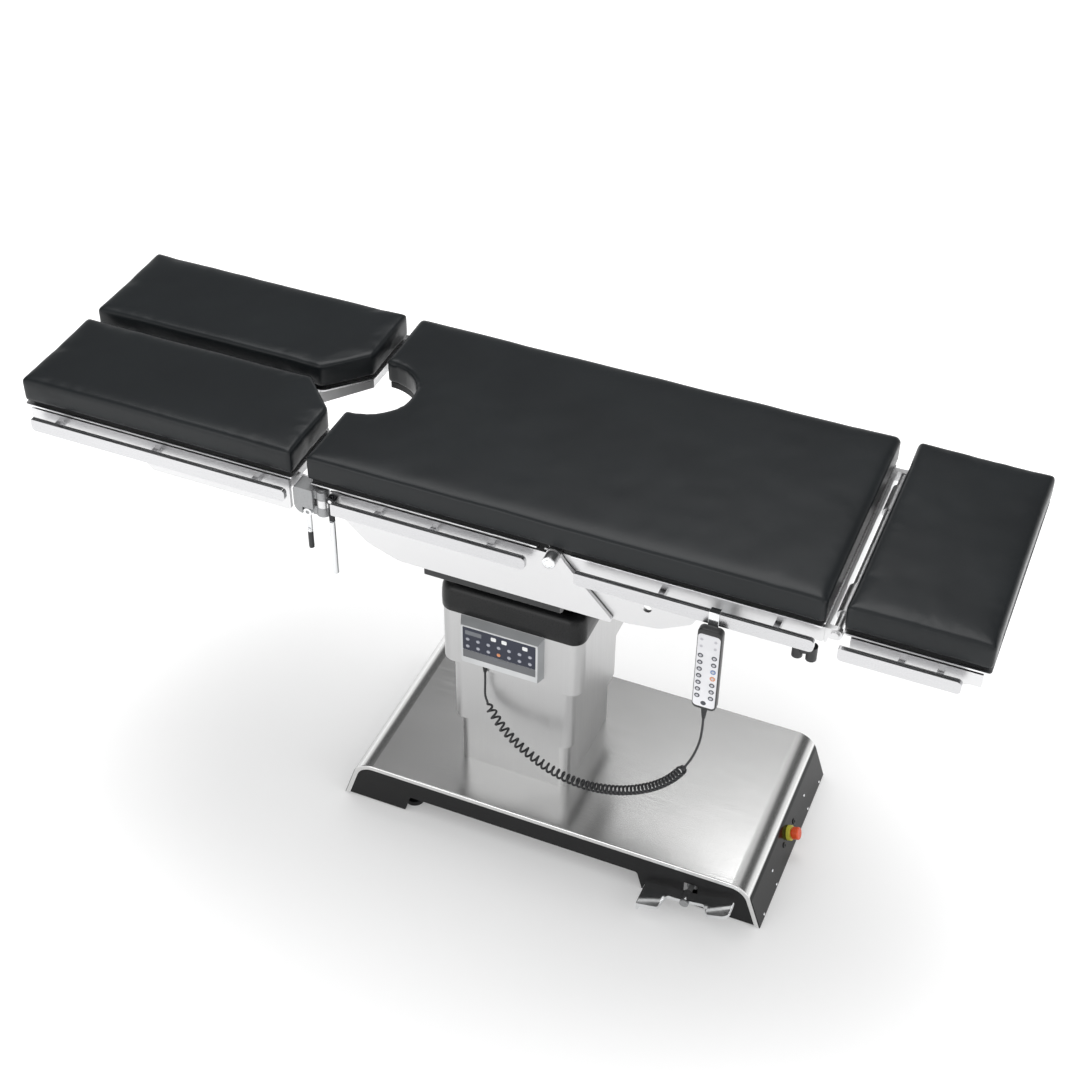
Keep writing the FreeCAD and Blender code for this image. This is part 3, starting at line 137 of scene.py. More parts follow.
# %% Outlines with rounded corners
def rounded_outline(corners, steps=6):
    """Points round a polygon whose corners are (x, y, radius)."""
    points = []
    for i, (x, y, radius) in enumerate(corners):
        here = Vector((x, y))
        before = (Vector(corners[i - 1][:2]) - here).normalized()
        after = (Vector(corners[(i + 1) % len(corners)][:2]) - here).normalized()
        if radius <= 0:
            points.append(here)
            continue
        half = before.angle(after) / 2
        centre = here + (before + after).normalized() * radius / math.sin(half)
        start = here + before * radius / math.tan(half) - centre
        turn = math.pi - 2 * half
        if start.cross(here + after * radius / math.tan(half) - centre) < 0:
            turn = -turn
        for k in range(steps + 1):
            angle = turn * k / steps
            points.append(centre + Vector((start.x * math.cos(angle) - start.y * math.sin(angle),
                                           start.x * math.sin(angle) + start.y * math.cos(angle))))
    return points


def rounded_box(x, y, half_x, half_y, radius, steps=6):
    return rounded_outline([(x - half_x, y - half_y, radius), (x + half_x, y - half_y, radius),
                            (x + half_x, y + half_y, radius), (x - half_x, y + half_y, radius)], steps)


def loft(rings, closed=False):
    """Faces between rings of equally many points, with both ends capped unless the rings close on
    themselves."""
    bm = bmesh.new()
    rows = [[bm.verts.new(p) for p in ring] for ring in rings]
    pairs = list(zip(rows, rows[1:]))
    if closed:
        pairs.append((rows[-1], rows[0]))
    for low, high in pairs:
        for i in range(len(low)):
            j = (i + 1) % len(low)
            bm.faces.new((low[i], low[j], high[j], high[i]))
    if not closed:
        bm.faces.new(rows[0][::-1])
        bm.faces.new(rows[-1])
    return bm


def slab(outline, z0, z1, edge=0.0, segments=4):
    """A flat closed solid over an outline, with its rims rounded."""
    bm = loft([[Vector((*p, z)) for p in outline] for z in (z0, z1)])
    if edge:
        rims = [e for e in bm.edges if abs(e.verts[0].co.z - e.verts[1].co.z) < 1e-6]
        bmesh.ops.bevel(bm, geom=rims, offset=edge, segments=segments, profile=0.5, affect="EDGES")
    return bm


def band(outer, inner, z0, z1):
    """A flat closed ring between two outlines of equally many points."""
    return loft([[Vector((*p, z)) for p in line] for line, z in
                 ((outer, z0), (outer, z1), (inner, z1), (inner, z0))], closed=True)


def turned(profile, count=24, place=(0, 0, 0), turn=None):
    """A shape turned about Z from (radius, height) pairs that start and end on the axis."""
    bm = bmesh.new()
    rings = []
    for radius, height in profile:
        if radius < 1e-7:
            rings.append([bm.verts.new((0, 0, height))])
            continue
        rings.append([bm.verts.new((radius * math.cos(2 * math.pi * k / count),
                                    radius * math.sin(2 * math.pi * k / count), height))
                      for k in range(count)])
    for low, high in zip(rings, rings[1:]):
        for k in range(count):
            m = (k + 1) % count
            if len(low) == 1:
                bm.faces.new((low[0], high[k], high[m]))
            elif len(high) == 1:
                bm.faces.new((low[k], low[m], high[0]))
            else:
                bm.faces.new((low[k], low[m], high[m], high[k]))
    bm.transform(Matrix.Translation(place) @ (turn or Matrix.Identity(4)))
    return bm


# %% [markdown]
# A finish is a small node tree. Each one here starts from object coordinates, so it stays put when a piece
# moves, and noise at the true scale of the grain or brushing drives colour, roughness and bump together.

# %% Helpers for finishes
def finish(name, colour, roughness, metallic=0.0):
    material = bpy.data.materials.new(name)
    material.use_nodes = True
    shader = material.node_tree.nodes["Principled BSDF"]
    shader.inputs["Base Color"].default_value = (*colour, 1)
    shader.inputs["Roughness"].default_value = roughness
    shader.inputs["Metallic"].default_value = metallic
    return material


def shader_of(material):
    return material.node_tree.nodes["Principled BSDF"]


def grain(material, scale, stretch=(1, 1, 1), detail=3.0, coordinates="Object"):
    """Noise of a given fineness, per metre, pulled out along an axis by a small stretch."""
    nodes, links = material.node_tree.nodes, material.node_tree.links
    where = nodes.new("ShaderNodeTexCoord")
    mapping = nodes.new("ShaderNodeMapping")
    mapping.inputs["Scale"].default_value = stretch
    texture = nodes.new("ShaderNodeTexNoise")
    texture.inputs["Scale"].default_value = scale
    texture.inputs["Detail"].default_value = detail
    links.new(where.outputs[coordinates], mapping.inputs["Vector"])
    links.new(mapping.outputs["Vector"], texture.inputs["Vector"])
    return texture.outputs["Fac"]


def calculated(tree, operation, *values):
    """One step of arithmetic on sockets and plain numbers."""
    step = tree.nodes.new("ShaderNodeMath")
    step.operation = operation
    for slot, value in zip(step.inputs, values):
        if isinstance(value, (int, float)):
            slot.default_value = value
        else:
            tree.links.new(value, slot)
    return step.outputs[0]


def ranged(tree, source, start, end, low=0.0, high=1.0, kind="LINEAR"):
    """A number that goes from low to high while its source goes from start to end."""
    step = tree.nodes.new("ShaderNodeMapRange")
    step.interpolation_type = kind
    for label, value in (("From Min", start), ("From Max", end), ("To Min", low), ("To Max", high)):
        step.inputs[label].default_value = value
    tree.links.new(source, step.inputs["Value"])
    return step.outputs["Result"]


def spread(material, source, low, high, socket, start=0.35, end=0.65):
    """Sends noise to a number socket, from low to high."""
    tree = material.node_tree
    tree.links.new(ranged(tree, source, start, end, low, high), shader_of(material).inputs[socket])


def tint(material, source, dark, light, start=0.35, end=0.65):
    """Sends noise to the base colour, from dark to light."""
    nodes, links = material.node_tree.nodes, material.node_tree.links
    ramp = nodes.new("ShaderNodeValToRGB")
    ramp.color_ramp.elements[0].position = start
    ramp.color_ramp.elements[0].color = (*dark, 1)
    ramp.color_ramp.elements[1].position = end
    ramp.color_ramp.elements[1].color = (*light, 1)
    links.new(source, ramp.inputs["Fac"])
    links.new(ramp.outputs["Color"], shader_of(material).inputs["Base Color"])


def relief(material, sources, strength, distance):
    """Bump from one or more noises, chained."""
    nodes, links = material.node_tree.nodes, material.node_tree.links
    last = None
    for source, share in sources:
        bump = nodes.new("ShaderNodeBump")
        bump.inputs["Strength"].default_value = strength * share
        bump.inputs["Distance"].default_value = distance
        links.new(source, bump.inputs["Height"])
        if last:
            links.new(last, bump.inputs["Normal"])
        last = bump.outputs["Normal"]
    links.new(last, shader_of(material).inputs["Normal"])


# %% [markdown]
# The cord to the hand control leaves the column's panel on a straight lead, hangs as a long curl and
# rises on another straight lead. Its own line is one spline. The curl is found by walking along a smooth
# guide through the hanging points and turning round it, closer together from about its middle on.

# %% Guide for the cord
cord_route = [
    (-0.020, -0.156, 0.428), (-0.020, -0.156, 0.394), (-0.020, -0.159, 0.360), (-0.005, -0.164, 0.328),
    (0.030, -0.176, 0.293), (0.085, -0.191, 0.266), (0.155, -0.210, 0.252), (0.228, -0.230, 0.262),
    (0.294, -0.249, 0.292), (0.358, -0.267, 0.336), (0.418, -0.284, 0.396), (0.458, -0.294, 0.456),
    (0.484, -0.299, 0.516), (0.497, -0.300, 0.566), (0.500, -0.300, 0.604), (0.500, -0.300, 0.638)]


def spline_curve(name, points, thickness):
    curve = bpy.data.curves.new(name, "CURVE")
    curve.dimensions = "3D"
    curve.bevel_depth = thickness / 2
    curve.bevel_resolution = 3
    curve.use_fill_caps = True
    spline = curve.splines.new("NURBS")
    spline.points.add(len(points) - 1)
    for target, point in zip(spline.points, points):
        target.co = (*point, 1)
    spline.order_u = 3
    spline.use_endpoint_u = True
    spline.resolution_u = 3
    return add_object(name, curve)


guide = spline_curve("cord_guide", cord_route, 0)
guide.data.splines[0].resolution_u = 24
line = [v.co.copy() for v in plain_copy(guide, "cord_line").vertices]
bpy.data.objects.remove(guide)
steps_along = [(b - a).length for a, b in zip(line, line[1:])]
print("hanging length", round(sum(steps_along), 3), "m in", len(line), "points")

# %% The curl
lead_thickness = 0.005
curl_radius = 0.0085
first_pitch, pitch_drop, drop_rate = 0.0165, 0.0045, 1.7
points_per_turn = 14
curl_first, curl_last = 2, 11
curl_start = (Vector(cord_route[curl_first]) + Vector(cord_route[curl_first + 1])) / 2
curl_end = (Vector(cord_route[curl_last]) + Vector(cord_route[curl_last + 1])) / 2


def nearest(point):
    return min(range(len(line)), key=lambda i: (line[i] - point).length)


def curl_points(first, last):
    """A helix round the guide, with a pitch that tightens on the way to the hand control."""
    travelled, total = 0.0, sum(steps_along[first:last])
    angle, points = 0.0, []
    side = Vector((0, -1, 0))
    index, rest = first, 0.0
    while index < last:
        share = travelled / total
        pitch = first_pitch - pitch_drop * min(1.0, share * drop_rate)
        here = line[index].lerp(line[index + 1], rest / steps_along[index])
        along = (line[index + 1] - line[index]).normalized()
        side = (side - along * side.dot(along)).normalized()
        other = along.cross(side)
        swell = min(1.0, share * 40, (1 - share) * 40 + 0.05)
        points.append(here + (side * math.cos(angle) + other * math.sin(angle)) * curl_radius * swell)
        step = pitch / points_per_turn
        angle += 2 * math.pi / points_per_turn
        travelled += step
        rest += step
        while index < last and rest >= steps_along[index]:
            rest -= steps_along[index]
            index += 1
    return points


turns = curl_points(nearest(curl_start), nearest(curl_end))
cord_points = [Vector(p) for p in cord_route[:curl_first + 1]] + turns
cord_points += [Vector(p) for p in cord_route[curl_last + 1:]]
cord = spline_curve("curly_cord", cord_points, lead_thickness)
cord_mesh_line = spline_curve("cord_measure", cord_points, 0)
measured = [v.co.copy() for v in plain_copy(cord_mesh_line, "measure").vertices]
bpy.data.objects.remove(cord_mesh_line)

cord_rubber = finish("cord_rubber", (0.018, 0.019, 0.021), 0.5)
cord_grain = grain(cord_rubber, 900, detail=2)
spread(cord_rubber, cord_grain, 0.42, 0.6, "Roughness")
tint(cord_rubber, cord_grain, (0.014, 0.015, 0.017), (0.026, 0.027, 0.029))
relief(cord_rubber, [(cord_grain, 1)], 0.12, 0.0002)
cord.data.materials.append(cord_rubber)
fasten(cord, "column_top", "cord", "cord_lead_low", "cord_curl", "cord_lead_high")


def relief_cone(low_radius, high_radius, low, high, place, count=5):
    """A tapered strain relief with grooves round it, standing on its thin end."""
    profile = [(0, low), (low_radius, low)]
    for k in range(count):
        a, b = (k + 0.35) / count, (k + 0.75) / count
        for share, cut in ((a, 0), (a + 0.02, 0.0007), (b, 0.0007), (b + 0.02, 0)):
            radius = low_radius + (high_radius - low_radius) * share - cut
            profile.append((radius, low + (high - low) * share))
    profile += [(high_radius, high), (0, high)]
    return turned(profile, place=place)


gland_low, gland_high = 0.4281, 0.4519
gland = piece_from("cord_gland", relief_cone(0.0036, 0.0064, gland_low, gland_high, (-0.020, -0.156, 0)),
                   cord_rubber)
fasten(gland, "column_top", "dark_plastic", "cord_plug")

# %% [markdown]
# A studio floor for a product picture is white and shows only a soft shadow. The floor's own colour is
# pale, and a little glow that only the camera, mirrors and glass see lifts it to white without lighting the
# object. Near the table the glow is weaker, which paints a darker shadow round the base. In mirrors the
# room is bright low down, in front and high up, with a dark band between, and its upper part is darker
# towards the legs. The pad tops look into that band, which gives them their depth.

# %% Rays that see the background
def seen_by(tree):
    """A number that is 1 for rays from the camera, from a mirror or through glass, and else 0."""
    path = tree.nodes.new("ShaderNodeLightPath")
    last = path.outputs["Is Camera Ray"]
    for kind in ("Is Glossy Ray", "Is Transmission Ray"):
        last = calculated(tree, "MAXIMUM", last, path.outputs[kind])
    return last


# %% Floor
# The glow is lowest near the table and rises outwards: a painted shadow on the floor.
painted_shadow_glow, far_glow = 0.18, 0.58
glow_start, glow_full = 0.6, 1.7
floor_half, floor_drop = 30, 0.0005
floor_paint = bpy.data.materials.new("floor_paint")
floor_paint.use_nodes = True
tree = floor_paint.node_tree
tree.nodes.clear()
where = tree.nodes.new("ShaderNodeTexCoord")
distance = tree.nodes.new("ShaderNodeVectorMath")
distance.operation = "LENGTH"
tree.links.new(where.outputs["Object"], distance.inputs[0])
outwards = ranged(tree, distance.outputs["Value"], glow_start, glow_full, painted_shadow_glow, far_glow, "SMOOTHSTEP")
paint = tree.nodes.new("ShaderNodeBsdfDiffuse")
paint.inputs["Color"].default_value = (0.80, 0.80, 0.80, 1)
glow = tree.nodes.new("ShaderNodeEmission")
tree.links.new(calculated(tree, "MULTIPLY", seen_by(tree), outwards), glow.inputs["Strength"])
both = tree.nodes.new("ShaderNodeAddShader")
tree.links.new(paint.outputs[0], both.inputs[0])
tree.links.new(glow.outputs[0], both.inputs[1])
out = tree.nodes.new("ShaderNodeOutputMaterial")
tree.links.new(both.outputs[0], out.inputs["Surface"])

bm = bmesh.new()
bmesh.ops.create_grid(bm, x_segments=2, y_segments=2, size=floor_half)
bmesh.ops.translate(bm, verts=bm.verts, vec=(0, 0, -floor_drop))
floor = piece_from("floor", bm, floor_paint)

# %% Room
room_light = 0.74
world = bpy.data.worlds.new("studio")
bpy.context.scene.world = world
world.use_nodes = True
tree = world.node_tree
background = tree.nodes["Background"]
background.inputs["Color"].default_value = (1, 1, 1, 1)
direction = tree.nodes.new("ShaderNodeTexCoord")
parts = tree.nodes.new("ShaderNodeSeparateXYZ")
tree.links.new(direction.outputs["Generated"], parts.inputs[0])


def graded(axis, start, end, low, high):
    """A number that changes smoothly with one part of the direction."""
    return ranged(tree, parts.outputs[axis], start, end, low, high, "SMOOTHSTEP")


sideways = graded("X", -0.38, -0.10, 0.20, 1.0)
upwards = graded("Z", 0.16, 0.38, 1.0, 0.10)
overhead = graded("Z", 0.66, 0.71, 0.0, 0.68)
in_front = graded("Y", -0.60, -0.30, 0.90, 0.0)
low_or_front = calculated(tree, "MAXIMUM", upwards, in_front)
mirrored = calculated(tree, "MULTIPLY_ADD", sideways, overhead, low_or_front)
chosen = tree.nodes.new("ShaderNodeMix")
tree.links.new(seen_by(tree), chosen.inputs["Factor"])
chosen.inputs["A"].default_value = room_light
tree.links.new(mirrored, chosen.inputs["B"])
tree.links.new(chosen.outputs["Result"], background.inputs["Strength"])

# %% [markdown]
# Large area lamps make the soft edges of a studio shadow. The main one hangs above, and a weaker one in
# front makes the sides of the pads lighter than their tops, as in the picture.

# %% Lamps
def lamp(name, place, aim, size, watts):
    data = bpy.data.lights.new(name, "AREA")
    data.shape = "RECTANGLE"
    data.size, data.size_y = size
    data.energy = watts
    thing = add_object(name, data)
    thing.location = place
    thing.rotation_mode = "QUATERNION"
    thing.rotation_quaternion = (Vector(aim) - Vector(place)).to_track_quat("-Z", "Y")


lamp("lamp_above", (-0.6, 1.0, 4.2), (0, 0, 0.4), (3.5, 2.5), 84)
lamp("lamp_front", (-1.2, -4.2, 1.6), (0, 0, 0.6), (3.0, 2.0), 38)
lamp("lamp_right", (3.6, -1.2, 1.8), (0.3, 0, 0.6), (2.0, 2.0), 18)

# %% [markdown]
# Hospital tables are satin stainless steel, ground in one direction. The noise is pulled out about eighty
# times along the grinding, and moves roughness and a very shallow bump, so that reflections smear across it.

# %% Steel finishes
mark_stretch = 0.012


def ground_steel(name, colour, roughness, along, fineness=420, depth=0.035):
    """Satin steel. along is the axis of the grinding marks."""
    material = finish(name, colour, roughness, 1.0)
    stretch = [1.0, 1.0, 1.0]
    stretch["xyz".index(along)] = mark_stretch
    marks = grain(material, fineness, stretch, 4)
    clouds = grain(material, 2.2, detail=2)
    spread(material, marks, roughness - 0.04, roughness + 0.06, "Roughness")
    tint(material, clouds, tuple(c * 0.96 for c in colour), tuple(min(1, c * 1.03) for c in colour), 0.3, 0.7)
    relief(material, [(marks, 1)], depth, 0.0002)
    return material


plate_steel = ground_steel("plate_steel", (0.66, 0.66, 0.665), 0.34, "x")
column_steel = ground_steel("column_steel", (0.58, 0.58, 0.58), 0.36, "z", 420, 0.02)
rail_steel = ground_steel("rail_steel", (0.57, 0.57, 0.58), 0.24, "x", 700, 0.02)
base_steel = ground_steel("base_steel", (0.74, 0.74, 0.735), 0.20, "x", 900, 0.004)

bright_chrome = finish("bright_chrome", (0.76, 0.77, 0.78), 0.09, 1.0)
chrome_marks = grain(bright_chrome, 260, detail=3)
spread(bright_chrome, chrome_marks, 0.06, 0.14, "Roughness")
tint(bright_chrome, grain(bright_chrome, 14), (0.68, 0.69, 0.70), (0.82, 0.83, 0.84))

cast_metal = finish("cast_metal", (0.34, 0.345, 0.35), 0.5, 0.85)
cast_grain = grain(cast_metal, 520, detail=4)
spread(cast_metal, cast_grain, 0.42, 0.62, "Roughness")
relief(cast_metal, [(cast_grain, 1)], 0.25, 0.0004)

# %% [markdown]
# The two leaning ends of the base cover are painted dark, as a painted reflection of dark surroundings on
# either side. They belong to the same sheet of metal, so one material does both: a number worked out from
# the place on the cover says whether a point lies on the flat of an end, and mixes the two colours there.

# %% Painted dark reflection on the ends of the base
def masked(material, where, inside, outside=None):
    """Mixes a second base colour in by a number from 0 to 1. The first one is what the material has, or
    outside."""
    mix = material.node_tree.nodes.new("ShaderNodeMix")
    mix.data_type = "RGBA"
    links = material.node_tree.links
    links.new(where, mix.inputs["Factor"])
    socket = shader_of(material).inputs["Base Color"]
    if socket.is_linked:
        links.new(socket.links[0].from_socket, mix.inputs[6])
    else:
        mix.inputs[6].default_value = (*outside, 1)
    mix.inputs[7].default_value = (*inside, 1)
    links.new(mix.outputs[2], socket)


def place_number(material, weights, start, end, about=0.0):
    """A number from 0 to 1 that grows with a weighted sum of the object's own coordinates. With about
    set, the first coordinate is measured outwards from there on both sides."""
    tree = material.node_tree
    where = tree.nodes.new("ShaderNodeTexCoord")
    split = tree.nodes.new("ShaderNodeSeparateXYZ")
    tree.links.new(where.outputs["Object"], split.inputs[0])
    total = 0.0
    for axis, weight in weights:
        value = split.outputs[axis]
        if about and axis == "X":
            value = calculated(tree, "ABSOLUTE", calculated(tree, "SUBTRACT", value, about))
        total = calculated(tree, "MULTIPLY_ADD", value, weight, total)
    return ranged(tree, total, start, end)


base_middle, base_half, end_lean = 0.1575, 0.4925, 0.329
dark_from, dark_full = base_half - 0.0022, base_half - 0.0012
# On the flat of each end a near-black colour is mixed in: a painted dark reflection.
painted_reflection_on_end = place_number(base_steel, (("X", 1.0), ("Z", end_lean)), dark_from, dark_full, base_middle)
masked(base_steel, painted_reflection_on_end, (0.016, 0.0163, 0.0167))

# %% [markdown]
# Moulded plastic is never quite even: a spark-eroded mould leaves a fine orange peel. Rubber is duller and
# its grain is coarser. The two share one recipe with different numbers.

# %% Plastics and rubbers
def moulded(name, colour, roughness, fineness=1500, depth=0.1):
    material = finish(name, colour, roughness)
    skin = grain(material, fineness, detail=2)
    spread(material, skin, max(0.05, roughness - 0.06), roughness + 0.08, "Roughness")
    tint(material, grain(material, 9), tuple(c * 0.88 for c in colour), tuple(c * 1.1 for c in colour))
    relief(material, [(skin, 1)], depth, 0.0002)
    return material


dark_plastic = moulded("dark_plastic", (0.014, 0.015, 0.016), 0.40)
hood_plastic = moulded("hood_plastic", (0.36, 0.37, 0.38), 0.40)
boot_rubber = moulded("boot_rubber", (0.008, 0.0083, 0.0087), 0.30, 700, 0.12)
tyre_rubber = moulded("tyre_rubber", (0.045, 0.046, 0.05), 0.6, 500, 0.25)
board_plastic = moulded("board_plastic", (0.010, 0.0105, 0.011), 0.5, 900)
skirt_plastic = moulded("skirt_plastic", (0.007, 0.007, 0.0075), 0.5, 900, 0.2)
dull_shine = 0.25
for dull in (boot_rubber, skirt_plastic, board_plastic):
    shader_of(dull).inputs["Specular IOR Level"].default_value = dull_shine
stop_red = moulded("stop_red", (0.78, 0.09, 0.02), 0.32)
collar_yellow = moulded("collar_yellow", (0.66, 0.62, 0.07), 0.4)
handset_plastic = moulded("handset_plastic", (0.010, 0.010, 0.011), 0.38)

# %% [markdown]
# The long clamping levers are chromed below and blackened where they bend round the hinge. Like the base and
# its painted dark reflection, they take two colours in one material, split by height. The lever's coordinates
# move with it.

# %% Lever steel
lever_bright = (0.76, 0.77, 0.78)
lever_steel = finish("lever_steel", lever_bright, 0.10, 1.0)
spread(lever_steel, grain(lever_steel, 300), 0.07, 0.16, "Roughness")
black_from, black_full = 0.8405, 0.8415
blackened = place_number(lever_steel, (("Z", 1.0),), black_from, black_full)
masked(lever_steel, blackened, (0.035, 0.036, 0.038), lever_bright)

# %% [markdown]
# The frame's own nodes keep their shapes and only change finish. A table from the record's slots to the
# finishes covers most of them, and a second, short one names the nodes that differ from their slot.

# %% Finishes on the frame
by_slot = {"steel": plate_steel, "chrome": bright_chrome, "cast": cast_metal, "dark_plastic": dark_plastic,
           "rubber": boot_rubber, "tyre": tyre_rubber, "board": board_plastic, "red": stop_red,
           "yellow": collar_yellow, "hood": hood_plastic, "cord": cord_rubber, "pad": board_plastic,
           "membrane": dark_plastic, "handset_face": dark_plastic}
by_node = {"base_cover": base_steel, "low_shroud": column_steel, "mid_shroud": column_steel,
           "upper_shroud": column_steel, "seat_rails": rail_steel, "back_rails": rail_steel,
           "head_rails": rail_steel, "leg_rail_left": rail_steel, "leg_rail_right": rail_steel,
           "base_skirt": skirt_plastic, "leg_lock_lever_left": lever_steel,
           "leg_lock_lever_right": lever_steel, "leg_tilt_lever_left": bright_chrome,
           "leg_tilt_lever_right": bright_chrome}
slot_of = {row["node"]: row["material_slot"] for row in frame["record"]["subparts"]}
for name, thing in frame["nodes"].items():
    dressed = by_node.get(name) or by_slot[slot_of[name]]
    if thing.data.materials:
        for i in range(len(thing.data.materials)):
            thing.data.materials[i] = dressed
    else:
        thing.data.materials.append(dressed)
print("finishes on", len(frame["nodes"]), "nodes")

# %% [markdown]
# The pads are foam under electrically conductive leathercloth, shut by welding. They look crisp, but no
# stuffed thing is flat: the faces stand a little proud in the middle and the long edges wander slightly.
# Each pad starts as an exact slab, is remeshed evenly, and is blown up as cloth by a few millimetres.

# %% Leathercloth
leathercloth = finish("leathercloth", (0.0095, 0.0115, 0.013), 0.36)
pores = grain(leathercloth, 1300, detail=3)
creases = grain(leathercloth, 160, detail=4)
clouds = grain(leathercloth, 5, detail=3)
tint(leathercloth, clouds, (0.0085, 0.0102, 0.0117), (0.0105, 0.0127, 0.0143))
spread(leathercloth, pores, 0.28, 0.38, "Roughness")
relief(leathercloth, [(creases, 0.4), (pores, 0.8)], 0.16, 0.0003)
shader_of(leathercloth).inputs["Specular IOR Level"].default_value = 0.26

# %% Blowing up a pad
pad_low, pad_top, half_width = 0.918, 0.976, 0.265
cloth_pull, swell_most = 0.012, 0.003
pad_rim, shrink = 0.004, 0.0015
slow_wander, fine_wander = 0.0009, 0.0004


def blow_up(mesh, voxel, frames=16):
    """Evens the mesh, then lets air inside push it out, by no more than swell_most."""
    shape = add_object("pad_in_work", mesh)
    evener = shape.modifiers.new("even", "REMESH")
    evener.mode = "VOXEL"
    evener.voxel_size = voxel
    even = plain_copy(shape, "pad_even")
    bpy.data.objects.remove(shape)
    shape = add_object("pad_in_air", even)
    start = [v.co.copy() for v in even.vertices]
    cloth = shape.modifiers.new("cloth", "CLOTH")
    cloth.settings.use_pressure = True
    cloth.settings.uniform_pressure_force = 4
    cloth.settings.tension_stiffness = 20
    cloth.settings.compression_stiffness = 20
    cloth.settings.quality = 4
    cloth.settings.effector_weights.gravity = 0
    scene = bpy.context.scene
    for number in range(1, frames + 1):
        scene.frame_set(number)
    blown = plain_copy(shape, "pad_blown")
    for vertex, old in zip(blown.vertices, start):
        move = vertex.co - old
        reach = move.length
        if reach > 0:
            vertex.co = old + move * (swell_most * math.tanh(reach / cloth_pull) / reach)
    bpy.data.objects.remove(shape)
    scene.frame_set(1)
    return blown


def make_pad(name, outline, voxel, nodes):
    """A pad over an outline, resting on its board, with edges that wander a little."""
    block = slab(outline, pad_low, pad_top - shrink, pad_rim)
    mesh = blow_up(mesh_of(block, name), voxel)
    middle = (pad_low + pad_top) / 2
    for vertex in mesh.vertices:
        place = vertex.co
        wander = noise.noise(place * 7.0) * slow_wander + noise.noise(place * 21.0) * fine_wander
        place.z += wander * (place.z > middle)
        place.y += wander * 0.8
        place.z = max(place.z, pad_low)
    pad = add_object(name, mesh)
    mesh.materials.clear()
    mesh.materials.append(leathercloth)
    mesh.shade_smooth()
    smoother = pad.modifiers.new("smooth", "SUBSURF")
    smoother.levels = smoother.render_levels = 1
    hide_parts(*nodes)
    print(name, len(mesh.polygons), "faces")
    return pad


# %% [markdown]
# Each pad lies on a thin plastic board whose rim carries a strip of light metal. Seen from above, the strip
# is the fine bright line between the black pad and the side plate. Its place is the shadow gap between the
# two, with nothing touching above or below.

# %% Leg pads, their boards and edge strips
leg_end, leg_near = -1.001, -0.379
channel_half, corner_across, corner_along = 0.015, 0.085, 0.080
board_low, board_inset, strip_inset = 0.904, 0.015, 0.003
strip_low, strip_high = 0.9085, 0.9120
strip_gap = 0.0003
strip_inner = board_inset + strip_gap
pad_corner, board_corner, inner_corner = 0.006, 0.003, 0.02
small_voxel, large_voxel = 0.0065, 0.0075
strip_metal = ground_steel("strip_metal", (0.78, 0.78, 0.79), 0.3, "x", 700, 0.02)


def leg_outline(side, inset, corner):
    inner = channel_half + inset
    near = leg_near - inset / 2
    points = [(leg_end + inset, half_width - inset, corner), (near, half_width - inset, corner),
              (near, channel_half + corner_across, inner_corner), (near - corner_along, inner, inner_corner),
              (leg_end + inset, inner, corner)]
    return rounded_outline([(x, y * side, r) for x, y, r in points])


for name, side in (("left", -1), ("right", 1)):
    body = "leg_" + name
    pad = make_pad("pad_leg_" + name, leg_outline(side, shrink, pad_corner), small_voxel, ["leg_pad_" + name])
    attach(pad, body)
    board = slab(leg_outline(side, board_inset, board_corner), board_low, pad_low, 0.0012)
    fasten(piece_from("board_leg_" + name, board, board_plastic), body, "board")
    strip = band(leg_outline(side, strip_inset, pad_corner), leg_outline(side, strip_inner, board_corner),
                 strip_low, strip_high)
    fasten(piece_from("strip_leg_" + name, strip, strip_metal), body, "steel")

# %% Mattress over the seat and back
seat_end, back_end = -0.351, 0.699
cut_centre, cut_radius = -0.340, 0.090
hinge_x, hinge_z, bend_half = 0.172, 0.902, 0.059


def mattress_outline(inset, corner, steps=40):
    """Round the table top: along one side, across the head end, back, and round the cut-out."""
    low, high = seat_end + inset, back_end - inset
    edge = half_width - inset
    radius = cut_radius + inset
    start = math.acos((low - cut_centre) / radius)
    frame_line = rounded_outline([(low, -edge, corner), (high, -edge, corner), (high, edge, corner),
                                  (low, edge, corner)])
    bite = [Vector((cut_centre + radius * math.cos(start * (1 - 2 * k / steps)),
                    radius * math.sin(start * (1 - 2 * k / steps)))) for k in range(steps + 1)]
    return frame_line + bite


mattress = make_pad("mattress", mattress_outline(shrink, pad_corner), large_voxel,
                    ["seat_pad", "mattress_bend", "back_pad"])
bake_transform(mattress)

# %% Head pad
head_start, head_end = 0.727, 1.001
head_middle, head_half = (head_start + head_end) / 2, (head_end - head_start) / 2


def head_outline(inset, corner):
    return rounded_box(head_middle, 0, head_half - inset, half_width - inset, corner)


head_rest = make_pad("pad_head", head_outline(shrink, pad_corner), small_voxel, ["head_pad"])
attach(head_rest, "head")
strip = band(head_outline(strip_inset, pad_corner), head_outline(strip_inner, board_corner),
             strip_low, strip_high)
fasten(piece_from("strip_head", strip, strip_metal), "head", "steel")

# %% Edge strips of the seat and back
cross_half, strip_corner, strip_edge = 0.0025, 0.001, 0.0004
seat_strip_start, seat_strip_end = seat_end + 0.012, 0.138
back_strip_start, back_strip_end, cross_place = 0.206, back_end - 0.006, back_end - 0.0058


def strips(name, body, x0, x1, across_at=None):
    """A strip on each side from x0 to x1, and one across the end if it is wanted."""
    bm = bmesh.new()
    outer, inner = half_width - strip_inset, half_width - board_inset - strip_gap
    boxes = [((x0 + x1) / 2, side * (outer + inner) / 2, (x1 - x0) / 2, (outer - inner) / 2)
             for side in (-1, 1)]
    if across_at:
        boxes.append((across_at, 0, cross_half, inner))
    for box in boxes:
        join_into(bm, slab(rounded_box(*box, strip_corner, 2), strip_low, strip_high, strip_edge, 2))
    fasten(piece_from(name, bm, strip_metal), body, "steel")


strips("strip_seat", "seat", seat_strip_start, seat_strip_end)
strips("strip_back", "back", back_strip_start, back_strip_end, cross_place)
